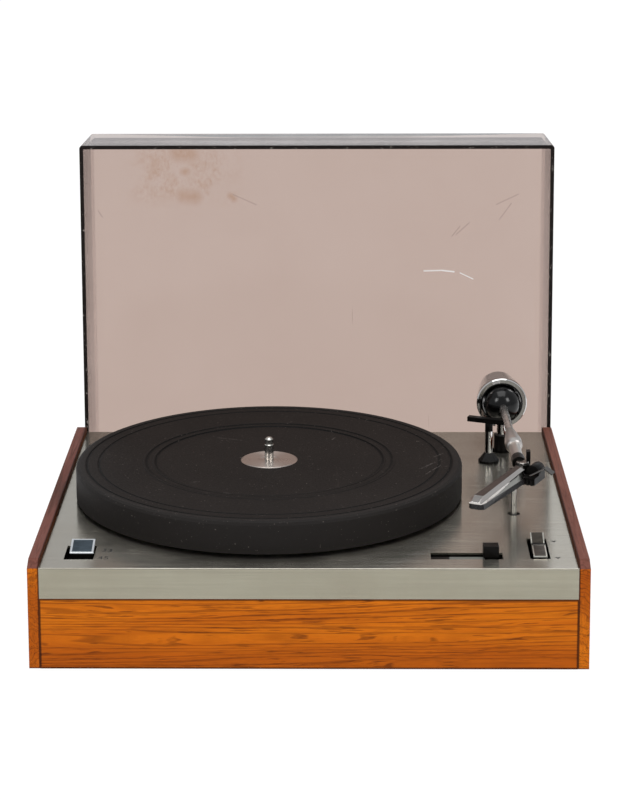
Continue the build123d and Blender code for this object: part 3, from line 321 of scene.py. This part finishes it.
def brushed_deck():
    """Metal brushed from side to side."""
    t = new_look("deck_brushed")
    fine = t.noise(t.coords(FINE_BRUSHING), 1.0, 4.0, 0.7)
    broad = t.noise(t.coords(BROAD_BRUSHING), 1.0, 3.0, 0.5)
    dirt = t.noise(t.coords(), 18.0, 6.0, 0.65)
    shade = t.math("ADD", t.fit(fine, 0.25, 0.75, 0.80, 1.04), t.spread(broad, -0.06, 0.05))
    base = t.shaded(DECK_TONE, shade, [(0.0, 0.0), (1.0, 1.0)])
    base = t.mix(t.fit(dirt, 0.35, 0.75, 0.0, 0.6), base, DECK_DIRT)
    # painted shade: the top gets darker towards its left end, standing in for the darker reflection
    # there
    on_top = t.facing_up(0.3, 0.7)
    dull = t.times(on_top, t.fit(t.place()[0], SHADE_START, SHADE_END, 0.0, 0.42))
    base = t.mix(dull, base, tuple(k * 0.35 for k in DECK_TONE))
    # painted shade: the bent front lip, the same metal as the top, is made darker and warmer than
    # it
    base = t.mix(on_top, t.mix(1.0, base, LIP_SHADE_TINT, "MULTIPLY"), base)
    rough = t.math("ADD", t.fit(fine, 0.25, 0.75, 0.17, 0.25), t.fit(dirt, 0.4, 0.8, 0.0, 0.07))
    across = t.build("ShaderNodeCombineXYZ", {1: 1.0, 2: 1.0})
    return t.surface(Base_Color=base, Metallic=1.0, Roughness=rough, Anisotropic=0.93,
                     Tangent=across.outputs[0], Normal=t.bump(fine, 0.06, 0.0002))


def plain_metal(name, colour, rough=(0.18, 0.30), scale=120.0):
    t = new_look(name)
    n = t.noise(t.coords(), scale, 5.0)
    base = t.shaded(colour, n, [(0.25, 0.86), (0.75, 1.0)])
    return t.surface(Base_Color=base, Metallic=1.0, Roughness=t.spread(n, *rough),
                     Normal=t.bump(n, 0.05, 0.0002))


def turned(name, colour, rough, pitch):
    """Metal with fine rings round the platter's axis, so that highlights fan out."""
    t = new_look(name)
    ring = t.math("SINE", t.times(t.radius(), pitch))
    n = t.noise(t.coords(), 40.0, 4.0)
    base = t.shaded(colour, t.fit(ring, -1, 1, 0.4, 0.6), [(0.4, 0.88), (0.6, 1.0)])
    outward = t.coords((1, 1, 0), (-PLATTER[0], -PLATTER[1], 0))
    return t.surface(Base_Color=base, Metallic=1.0, Roughness=t.spread(n, *rough),
                     Normal=t.bump(ring, 0.05, 0.0001), Anisotropic=0.8, Tangent=outward)


def bright_plate():
    """Chrome plate with a few dull spots."""
    t = new_look("bright_plate")
    n = t.noise(t.coords(), 90.0, 6.0, 0.7)
    spots = t.noise(t.coords((1, 1, 1), (0.3, 0.1, 0.2)), 700.0, 2.0)
    base = t.mix(t.fit(spots, 0.68, 0.78, 0.0, 0.5), (0.72, 0.71, 0.70), (0.28, 0.26, 0.24))
    return t.surface(Base_Color=base, Metallic=1.0, Roughness=t.fit(n, 0.35, 0.8, 0.03, 0.12),
                     Normal=t.bump(n, 0.03, 0.0002))


def painted_light_cap(name, box, face, edge_highlight_tone, wide, band=None):
    """Chrome with a painted dark reflection on its face, painted highlights along its edges, and a
    painted shade band across it.
    """
    t = new_look(name)
    x, y, _ = t.place()
    (left, front, _), (right, back, _) = box
    sides = [t.close(x, edge, wide, wide * 1.3) for edge in (left, right)]
    sides += [t.close(y, edge, wide * 0.8, wide * 1.1) for edge in (front, back)]
    # painted highlights also run along both sides of the shade band
    if band is not None:
        sides.append(t.close(y, band, SHADE_BAND_HALF + wide * 0.7, SHADE_BAND_HALF + 0.0001 + wide))
    smear = t.noise(t.coords((60.0, 260.0, 60.0)), 1.0, 5.0, 0.6)
    fine = t.noise(t.coords(), 500.0, 4.0)
    # painted reflection: the face is smeared towards a darker copy of its tone
    tone = t.mix(t.fit(smear, 0.35, 0.65, 0.0, 1.0), face, tuple(k * 0.45 for k in face))
    # painted highlights along the edges
    tone = t.mix(t.most(sides), tone, edge_highlight_tone)
    # painted shade: the dark band across the rocker
    if band is not None:
        tone = t.mix(t.close(y, band, SHADE_BAND_HALF, SHADE_BAND_HALF + 0.0004), tone, (0.004, 0.004, 0.004))
    return t.surface(Base_Color=tone, Metallic=1.0, Roughness=t.spread(fine, 0.14, 0.26),
                     Normal=t.bump(fine, 0.05, 0.0002))


def shell_chrome():
    """Chrome with a painted dark reflection on the flat crown and painted highlights on the bevels.
    """
    t = new_look("shell_chrome")
    n = t.noise(t.coords((30.0, 30.0, 200.0)), 1.0, 5.0, 0.6)
    fine = t.noise(t.coords(), 300.0, 4.0)
    # painted reflection: dark tones on the crown, a painted highlight tone on the bevels
    dark, pale = (0.020, 0.016, 0.014), (0.080, 0.068, 0.062)
    crown = t.mix(t.fit(n, 0.35, 0.65, 0.0, 1.0), dark, pale)
    tone = t.mix(t.facing_up(0.90, 0.97), (0.56, 0.53, 0.50), crown)
    return t.surface(Base_Color=tone, Metallic=1.0, Roughness=t.spread(fine, 0.10, 0.20),
                     Normal=t.bump(fine, 0.04, 0.0002))


SHADE_BAND_HALF = 0.0014                    # half the painted shade band across the cue rocker
ROCKER_SHADE_BAND = ROCKER[0][1] + 0.0198   # y of its middle
steel = plain_metal("plain_steel", (0.55, 0.55, 0.54))
zinc = plain_metal("zinc_plate", (0.62, 0.60, 0.52), (0.3, 0.5), 60.0)
cast = turned("cast_alloy", (0.58, 0.58, 0.57), (0.3, 0.45), 4000.0)
satin = plain_metal("satin_tube", (0.66, 0.63, 0.60), (0.20, 0.32), 200.0)
flank_bright = plain_metal("flank_bright", (0.50, 0.49, 0.45), (0.12, 0.22))
bright = bright_plate()


# ---- plastics and rubber
def moulded(name, colour, rough=(0.30, 0.45), scale=260.0, dust=0.0, spec=0.5):
    t = new_look(name)
    n = t.noise(t.coords(), scale, 5.0)
    base = t.shaded(colour, n, [(0.25, 0.8), (0.75, 1.1)])
    if dust:
        d = t.noise(t.coords(), 520.0, 3.0, 0.8)
        base = t.mix(t.fit(d, 0.62, 0.75, 0.0, dust), base, (0.30, 0.27, 0.24))
    return t.surface(Base_Color=base, Roughness=t.spread(n, *rough),
                     Normal=t.bump(n, 0.06, 0.0002), Specular_IOR_Level=spec)


black_plastic = moulded("black_plastic", (0.0030, 0.0024, 0.0020), dust=0.04, spec=0.12)
pale_plastic = moulded("pale_plastic", (0.13, 0.135, 0.12), (0.4, 0.55))
plain_rubber = moulded("plain_rubber", (0.010, 0.010, 0.010), (0.6, 0.75), 500.0, spec=0.2)
black_print = moulded("black_print", (0.015, 0.014, 0.013), (0.5, 0.6))
flank_dark = moulded("flank_dark", (0.006, 0.005, 0.005), (0.22, 0.34), spec=0.3)

RINGS = (0.0884, 0.0955, 0.1324, 0.1417)   # radii of the edges of the mat's rings
SHOULDER = (0.1425, 0.1445)                # the radius where the mat's shoulder starts
# start, end and half width of each light scratch on the mat
MAT_MARKS = (
    ((0.0850, -0.0560), (0.1010, -0.0330), 0.00018),
    ((0.0880, -0.0700), (0.1000, -0.0480), 0.00014),
    ((0.0960, -0.0260), (0.1030, -0.0180), 0.00025),
    ((-0.0760, 0.0250), (-0.0560, 0.0180), 0.00016),
    ((-0.0900, -0.0900), (-0.0840, -0.0880), 0.00022),
    ((-0.0640, -0.1170), (-0.0520, -0.1195), 0.00030),
    ((0.0160, 0.0200), (0.0185, 0.0260), 0.00022),
    ((-0.0420, -0.1210), (-0.0340, -0.1215), 0.00020),
)


def rubber():
    """Ribbed rubber with painted shade at the ring edges, dust and a few scratches."""
    t = new_look("mat_rubber")
    x, y, _ = t.place()
    fine = t.noise(t.coords(), 900.0, 4.0, 0.7)
    cloud = t.noise(t.coords(), 9.0, 6.0, 0.6)
    radius = t.radius()
    ridge = t.math("SINE", t.times(radius, 2600.0))
    dark, pale = (0.0062, 0.0044, 0.0036), (0.0100, 0.0074, 0.0062)
    base = t.mix(t.fit(cloud, 0.35, 0.7, 0.0, 1.0), dark, pale)
    # the shoulder outside the rings is paler, and painted shade darkens the ring edges
    base = t.mix(t.fit(radius, *SHOULDER, 0.0, 0.5), base, (0.018, 0.0160, 0.0150))
    edge = t.most([t.close(radius, r, 0.0007, 0.0015) for r in RINGS])
    base = t.mix(t.times(edge, 0.95), base, (0.0006, 0.0005, 0.0004))
    # pale dust specks, and smears of dust that follow a wipe
    speck = t.noise(t.coords((1, 1, 1), (0.4, 0.2, 0.1)), 560.0, 2.0, 0.6)
    base = t.mix(t.fit(speck, 0.700, 0.735, 0.0, 0.60), base, (0.17, 0.145, 0.13))
    smear = t.noise(t.coords((60.0, 5.0, 40.0), (0, 0, 0), (0, 0, 0.7)), 2.0, 5.0, 0.7)
    base = t.mix(t.fit(smear, 0.66, 0.78, 0.0, 0.16), base, (0.12, 0.10, 0.09))
    # broken light scratches
    broken = t.fit(t.noise(t.coords((1, 1, 1), (0.1, 0.5, 0)), 380.0, 3.0, 0.7), 0.42, 0.60)
    marks = t.most([t.stroke(x, y, a, b, half, 0.0004) for a, b, half in MAT_MARKS])
    base = t.mix(t.times(t.times(marks, broken), 0.55), base, (0.16, 0.14, 0.13))
    height = t.math("ADD", t.times(ridge, 0.25), fine)
    return t.surface(Base_Color=base, Roughness=t.spread(fine, 0.55, 0.70),
                     Specular_IOR_Level=0.13, Normal=t.bump(height, 0.14, 0.0003))


# ---- tinted acrylic of the dust cover, with marks on its back wall as (x, z)
WALL = 0.0045       # what lies this close to the back of the cover is its back wall
RIM_DEPTH = 0.0014
# scratches that get a painted glint
GLINT_SCRATCH_MARKS = (
    ((0.0950, 0.2026), (0.1106, 0.2030), 0.00020),
    ((0.1106, 0.2030), (0.1210, 0.2018), 0.00030),
    ((0.1262, 0.2008), (0.1375, 0.1954), 0.00012),
)
FINE_MARKS = (
    ((0.1190, 0.2330), (0.1260, 0.2420)),
    ((0.1225, 0.2345), (0.1340, 0.2450)),
    ((0.1570, 0.2610), (0.1760, 0.2700)),
    ((0.1600, 0.2480), (0.1700, 0.2620)),
    ((-0.1870, 0.2560), (-0.1830, 0.2500)),
    ((-0.0700, 0.2700), (-0.0500, 0.2610)),
)
STAIN_MIDDLE = (-0.1110, 0.2870)
# start, end, half width and softness of the stain's denser spots
STAIN_SPOTS = (
    ((-0.1180, 0.3060), (-0.1060, 0.3050), 0.0020, 0.0080),
    ((-0.1120, 0.2900), (-0.1100, 0.2900), 0.0006, 0.0045),
    ((-0.1130, 0.2690), (-0.1030, 0.2680), 0.0012, 0.0080),
    ((-0.0720, 0.2690), (-0.0690, 0.2660), 0.0004, 0.0040),
)
STAIN_TONE = (0.600, 0.440, 0.340)


def stained(t, x, z):
    """How strong the brown stain is: a field of flecks with denser spots."""
    flecks = t.noise(t.coords((1, 1, 0.6)), 420.0, 4.0, 0.8)
    patch = t.noise(t.coords(), 52.0, 4.0, 0.6, 0.6)
    zone = t.times(t.close(x, STAIN_MIDDLE[0], 0.030, 0.052),
                   t.close(z, STAIN_MIDDLE[1], 0.014, 0.030))
    field = t.math("ADD", flecks, t.times(patch, 0.9))
    field = t.times(zone, t.fit(field, 0.92, 1.16))
    spots = t.most([t.stroke(x, z, *spot) for spot in STAIN_SPOTS])
    spots = t.times(spots, t.fit(flecks, 0.30, 0.60, 0.35, 1.0))
    return t.most([t.times(field, 0.40), t.times(spots, 0.48)])


def acrylic():
    t = new_look("tinted_acrylic")
    x, y, z = t.place()
    back = t.math("GREATER_THAN", y, COVER_BACK - WALL)
    cloud = t.noise(t.coords(), 7.0, 5.0, 0.6)
    colour = t.mix(t.spread(cloud, 0.0, 1.0), (0.712, 0.630, 0.592), (0.697, 0.613, 0.574))
    # painted light: the walls above and below are made paler, and painted shade makes those at the
    # sides darker
    normal = t.split("Normal")
    level = t.fit(t.math("ABSOLUTE", normal[2]), 0.5, 0.9)
    colour = t.mix(level, colour, (0.950, 0.945, 0.955))
    flank = t.fit(t.math("ABSOLUTE", normal[0]), 0.5, 0.9)
    colour = t.mix(flank, colour, (0.660, 0.560, 0.525))
    stain = t.math("MULTIPLY", stained(t, x, z), back, clamp=True)
    colour = t.mix(stain, colour, STAIN_TONE)
    # fine dark scratches
    hair = t.most([t.stroke(x, z, a, b, 0.0001, 0.0003) for a, b in FINE_MARKS])
    drift = t.noise(t.coords((700.0, 30.0, 24.0), (0, 0, 0), (0, 0.9, 0)), 1.0, 2.0, 0.5)
    drift = t.fit(drift, 0.72, 0.77, 0.0, 0.22)
    hair = t.math("ADD", t.times(hair, 0.55), drift, clamp=True)
    colour = t.mix(t.times(hair, back), colour, (0.50, 0.41, 0.38))
    # a clear body with a weak shine
    haze = t.noise(t.coords(), 25.0, 6.0, 0.7)
    clear = t.build("ShaderNodeBsdfTransparent", {"Color": colour})
    shine = t.build("ShaderNodeBsdfGlossy", {
        "Roughness": t.fit(haze, 0.3, 0.8, 0.10, 0.22),
        "Color": t.ramp(haze, [(0.3, 0.80), (0.7, 0.92)]),
    })
    fresnel = t.build("ShaderNodeFresnel", {"IOR": 1.22})
    body = t.blend(fresnel.outputs[0], clear.outputs[0], shine.outputs[0])
    # a bright scratch that scatters light
    mark = t.most([t.stroke(x, z, a, b, half, 0.0004) for a, b, half in GLINT_SCRATCH_MARKS])
    painted_glint = t.build("ShaderNodeEmission", {
        "Color": t.ramp(haze, [(0.3, 0.92), (0.7, 1.0)]), "Strength": 0.9,
    # painted highlight: a scratch made to glow, standing in for the light it catches
    })
    body = t.blend(t.times(mark, t.times(back, 0.7)), body, painted_glint.outputs[0])
    # the open rim is a sawn, nearly black edge with pale chips
    rim = t.math("LESS_THAN", y, COVER_FRONT + RIM_DEPTH)
    chip = t.fit(t.noise(t.coords(), 330.0, 3.0, 0.7), 0.62, 0.70, 0.0, 0.85)
    edge = t.build("ShaderNodeBsdfPrincipled", {
        "Base Color": t.mix(chip, (0.0060, 0.0030, 0.0022), (0.34, 0.30, 0.27)),
        "Roughness": 0.5, "Specular IOR Level": 0.15,
    })
    t.put(t.out, 0, t.blend(rim, body, edge.outputs[0]))
    return t.owner


# ---- the look of each CAD node, black plastic where none is named
LOOKS = {
    "front_board": front_wood,
    "left_side_panel": side_wood,
    "right_side_panel": side_wood,
    "rear_board": fibreboard,
    "base_board": fibreboard,
    "corner_blocks": pine,
    "deck_plate": brushed_deck(),
    "chassis_plate": zinc,
    "motor_posts": zinc,
    "motor_body": plain_metal("motor_enamel", (0.10, 0.10, 0.11), (0.4, 0.55), 50.0),
    "motor_pulley": plain_metal("pulley_metal", (0.6, 0.6, 0.6)),
    "bearing_housing": plain_metal("turned_brass", (0.70, 0.50, 0.20), (0.2, 0.35)),
    "centre_spindle": plain_metal("spindle_steel", (0.60, 0.58, 0.54), (0.10, 0.22)),
    "centre_disc": turned("disc_metal", (0.56, 0.50, 0.46), (0.26, 0.36), 16000.0),
    "inner_platter": cast,
    "outer_platter": cast,
    "rubber_mat": rubber(),
    "rubber_feet": plain_rubber,
    "drive_belt": plain_rubber,
    "cable_grommets": plain_rubber,
    "terminal_strip": pale_plastic,
    "scale_light_strip": pale_plastic,
    "stylus_holder": moulded("ivory_plastic", (0.72, 0.68, 0.56), (0.25, 0.35)),
    # painted reflections, painted edge highlights and, on the rocker, a painted shade band on the
    # chrome caps
    "speed_key_cap": painted_light_cap("cap_chrome", CAP, (0.11, 0.145, 0.175), (0.88, 0.90, 0.92),
                                0.0013),
    "cue_lever": painted_light_cap("rocker_chrome", ROCKER, (0.115, 0.100, 0.082), (0.58, 0.56, 0.50),
                            0.0008, ROCKER_SHADE_BAND),
    "cue_lift_tube": bright,
    "arm_column": bright,
    "counterweight": bright,
    "arm_ball": moulded("ball_black", (0.002, 0.002, 0.002), (0.17, 0.22), 14.0, spec=0.30),
    "arm_tube": satin,
    "balance_stub": satin,
    "arm_collar": plain_metal("collar_satin", (0.60, 0.57, 0.54), (0.28, 0.40), 200.0),
    "arm_rest_post": plain_metal("post_satin", (0.74, 0.72, 0.68), (0.24, 0.36), 200.0),
    "clamp_screw": plain_metal("dark_satin", (0.33, 0.31, 0.29), (0.18, 0.28), 260.0),
    "finger_lift": plain_metal("lift_steel", (0.15, 0.14, 0.13), (0.12, 0.20), 260.0),
    "headshell_cover": shell_chrome(),
    "stylus": steel,
    "dust_cover": acrylic(),
}
for name in ("base_screws", "bearing_screws", "motor_screws", "chassis_studs", "cue_lever_pin",
             "thrust_ball", "tilt_pin", "suspension_springs"):
    LOOKS[name] = steel
for name, node in nodes.items():
    node.data.materials.clear()
    node.data.materials.append(LOOKS.get(name, black_plastic))
    for face in node.data.polygons:
        face.material_index = 0


# ---- small rounded edges that catch the light, in metres
ROUNDED = {
    "left_side_panel": 0.0004,
    "right_side_panel": 0.0004,
    "front_board": 0.0002,
    "start_knob": 0.0003,
    "speed_key_cap": 0.0002,
    "cue_lever": 0.0002,
    "arm_rest_cradle": 0.0003,
    "cue_lift_bar": 0.0004,
    "headshell_cover": 0.0002,
    "headshell_body": 0.0003,
    "headshell_housing": 0.0003,
    "dust_cover": 0.0004,
}
for name, size in ROUNDED.items():
    weld = nodes[name].modifiers.new("weld", "WELD")
    weld.merge_threshold = 0.00001
    bevel = nodes[name].modifiers.new("bevel", "BEVEL")
    bevel.width = size
    bevel.segments = 2
    bevel.limit_method = "ANGLE"
    bevel.angle_limit = math.radians(25)
    bevel.harden_normals = True


def mesh_piece(label, points, faces, look, body):
    data = bpy.data.meshes.new(label)
    data.from_pydata(points, [], faces)
    data.materials.append(look)
    thing = bpy.data.objects.new(label, data)
    scene.collection.objects.link(thing)
    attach(thing, body)
    return thing


def around(count):
    """Each index of a closed outline with the next one."""
    return [(i, (i + 1) % count) for i in range(count)]


# ---- printed marks on the deck
PRINT_Z = DECK_TOP + 0.00004
PRINT_HALF = 0.00003
PRINT_ROOT = DECK_TOP - 0.0001
FIGURE_SIZE = 0.0086
FIGURE_X = CAP[1][0] + 0.0044
MARK_SIZE, MARK_STROKE = 0.0044, 0.0008
MARK_X = ROCKER[1][0] + 0.0076


def printed_text(label, words, x, y):
    curve = bpy.data.curves.new(label, "FONT")
    curve.body = words
    curve.size = FIGURE_SIZE
    curve.align_x = "LEFT"
    curve.align_y = "CENTER"
    curve.extrude = PRINT_HALF
    curve.materials.append(black_print)
    thing = bpy.data.objects.new(label, curve)
    scene.collection.objects.link(thing)
    thing.location = (x, y, PRINT_Z)
    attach(thing, "plinth")


def chevron(label, x, y):
    """A thin mark with its point to the front."""
    half, rise, stroke = MARK_SIZE / 2, MARK_SIZE / 2 * 0.8, MARK_STROKE
    ring = [(x - half, y + rise), (x, y - rise), (x + half, y + rise),
            (x + half - stroke * 2, y + rise), (x, y - rise + stroke * 3),
            (x - half + stroke * 2, y + rise)]
    points = [(a, b, height) for height in (PRINT_ROOT, PRINT_Z) for a, b in ring]
    faces = [(0, 1, 4, 5), (1, 2, 3, 4), (11, 10, 7, 6), (10, 9, 8, 7)]
    faces += [(i, j, j + 6, i + 6) for i, j in around(6)]
    mesh_piece(label, points, faces, black_print, "plinth")


printed_text("print_33", "33", FIGURE_X, CAP[0][1] + 0.0117)
printed_text("print_45", "45", FIGURE_X - 0.0012, CAP[0][1] - 0.0042)
chevron("mark_raise", MARK_X, ROCKER[0][1] + 0.0356)
chevron("mark_lower", MARK_X, ROCKER[0][1] + 0.0002)


# ---- the strips in the slider's slot reach nearly to the deck's face, so that they show
STRIP_TOP = DECK_TOP - 0.0004
STRIP_RIGHT = KNOB_LEFT + 0.001
BOX_FACES = [(0, 1, 3, 2), (4, 6, 7, 5), (0, 4, 5, 1), (2, 3, 7, 6), (0, 2, 6, 4), (1, 5, 7, 3)]
for strip, look, slot_name in (("scale_dark_strip", black_plastic, "black_plastic"),
                               ("scale_light_strip", pale_plastic, "pale_plastic")):
    (left, front, low), (right, back, _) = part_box(strip)
    right = min(right, STRIP_RIGHT)
    points = [(x, y, z) for x in (left, right) for y in (front, back) for z in (low, STRIP_TOP)]
    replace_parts(mesh_piece(strip + "_look", points, BOX_FACES, look, "plinth"), strip)


# ---- lower body of the headshell with its sloping flank
SHELL_TURN = math.radians(25.8)
AHEAD = Vector((-math.sin(SHELL_TURN), -math.cos(SHELL_TURN), 0))
ASIDE = Vector((-AHEAD.y, AHEAD.x, 0))
SCREW = middle_of("clamp_screw")
SHELL_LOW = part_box("headshell_body")[0][2]
SHELL_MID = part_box("headshell_body")[1][2]
# outline from the clamp screw: distance ahead of it and distance aside
OUTLINE = (
    (0.0057, -0.0039), (0.0900, -0.0055), (0.0920, -0.0034), (0.0920, 0.0034), (0.0900, 0.0064),
    (0.0420, 0.0092), (0.0200, 0.0102), (0.0110, 0.0085), (0.0057, 0.0039),
)
# on the flank side the upper outline is lower by DROP and further in by LEAN
DROP = {4: 0.0003, 5: 0.0012, 6: 0.0015, 7: 0.0012}
LEAN = {4: 0.0008, 5: 0.0022, 6: 0.0024, 7: 0.0018}
# the flank's upper edge: ahead, aside and height over the upper outline
FLANK_TOP = (
    (0.0880, 0.0050, 0.0003), (0.0420, 0.0050, 0.0018), (0.0200, 0.0048, 0.0018),
    (0.0110, 0.0046, 0.0018),
)


def shell_point(ahead, aside, height):
    spot = Vector((SCREW[0], SCREW[1], 0)) + AHEAD * ahead + ASIDE * aside
    return (spot.x, spot.y, height)


count = len(OUTLINE)
top = count * 2
points = [shell_point(a, b, SHELL_LOW) for a, b in OUTLINE]
points += [shell_point(a, b - LEAN.get(i, 0.0), SHELL_MID - DROP.get(i, 0.0))
           for i, (a, b) in enumerate(OUTLINE)]
points += [shell_point(a, b, SHELL_MID + rise) for a, b, rise in FLANK_TOP]
faces = [tuple(reversed(range(count)))]
faces += [(i, j, count + j, count + i) for i, j in around(count)]
flank_faces = range(len(faces), len(faces) + 3)
faces += [
    (count + 4, count + 5, top + 1, top),
    (count + 5, count + 6, top + 2, top + 1),
    (count + 6, count + 7, top + 3, top + 2),
    (count + 3, count + 4, top),
    (count + 7, count + 8, top + 3),
    (count, count + 1, count + 2, count + 3, top, top + 1, top + 2, top + 3, count + 8),
]
shell = mesh_piece("headshell_body_look", points, faces, flank_dark, "tonearm")
shell.data.materials.append(flank_bright)
for index in flank_faces:
    shell.data.polygons[index].material_index = 1
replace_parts(shell, "headshell_body")


# ---- camera, fitted to the photograph of 618 by 800 pixels
PHOTO_HEIGHT = 800
FOCAL_PIXELS = 2420.15
AXIS_ROW = 152.42           # the pixel row that the camera's axis meets
SENSOR = 36.0
CAMERA_PLACE = (0.02522, -1.84651, 0.67639)
YAW, PITCH, ROLL = math.radians(0.825), math.radians(90 - 10.228), math.radians(-0.216)
cam_data = bpy.data.cameras.new("photo_camera")
cam_data.sensor_width = SENSOR
cam_data.lens = FOCAL_PIXELS / PHOTO_HEIGHT * SENSOR
cam_data.shift_y = -(PHOTO_HEIGHT / 2 - AXIS_ROW) / PHOTO_HEIGHT
cam_data.clip_end = 100.0
cam = bpy.data.objects.new("photo_camera", cam_data)
scene.collection.objects.link(cam)
turn = Matrix.Rotation(YAW, 4, "Z") @ Matrix.Rotation(PITCH, 4, "X")
turn = turn @ Matrix.Rotation(ROLL, 4, "Z")
cam.matrix_world = Matrix.Translation(CAMERA_PLACE) @ turn
scene.camera = cam


# ---- stage: floor, world and soft lights; the camera sees the floor and the world as white
def camera_ray(t):
    return t.add("ShaderNodeLightPath").outputs["Is Camera Ray"]


def floor_look():
    t = new_look("pale_floor")
    pale = t.ramp(t.noise(t.coords(), 3.0, 3.0), [(0.3, 0.86), (0.7, 0.90)])
    diffuse = t.build("ShaderNodeBsdfDiffuse", {"Color": pale})
    glow = t.build("ShaderNodeEmission", {"Strength": 1.06})
    seen = t.times(camera_ray(t), 0.94)
    t.put(t.out, 0, t.blend(seen, diffuse.outputs[0], glow.outputs[0]))
    return t.owner


FLOOR_SIZE, FLOOR_GAP = 40, 0.0002
bpy.ops.mesh.primitive_plane_add(size=FLOOR_SIZE, location=(0, 0, -FLOOR_GAP))
floor = bpy.context.object
floor.name = "floor"
floor.data.materials.append(floor_look())

scene.world = bpy.data.worlds.new("studio")
sky = Tree(scene.world, "ShaderNodeOutputWorld")
light = sky.build("ShaderNodeBackground", {"Color": (0.95, 0.97, 1.0), "Strength": 0.55})
white = sky.build("ShaderNodeBackground", {"Color": (1.0, 1.0, 1.0), "Strength": 1.02})
sky.put(sky.out, 0, sky.blend(camera_ray(sky), light.outputs[0], white.outputs[0]))


# name, place, width, height (None for a square) and power in watts
LAMPS = (
    ("left_box", (-1.5, -1.4, 1.6), 0.7, 0.9, 17.0),
    ("right_box", (1.5, -1.4, 1.6), 0.7, 0.9, 17.0),
    ("top_box", (0.0, -0.1, 2.2), 1.6, None, 20.0),
    ("back_box", (0.0, 2.6, 1.5), 2.4, 1.0, 5.0),
)
AIM = Vector((0.0, 0.0, 0.1))
for name, place, width, height, power in LAMPS:
    data = bpy.data.lights.new(name, "AREA")
    data.energy = power
    data.size = width
    if height:
        data.shape = "RECTANGLE"
        data.size_y = height
    lamp = bpy.data.objects.new(name, data)
    scene.collection.objects.link(lamp)
    lamp.location = place
    lamp.rotation_euler = (AIM - Vector(place)).to_track_quat("-Z", "Y").to_euler()

scene.view_settings.view_transform = "Standard"

bpy.context.view_layer.update()
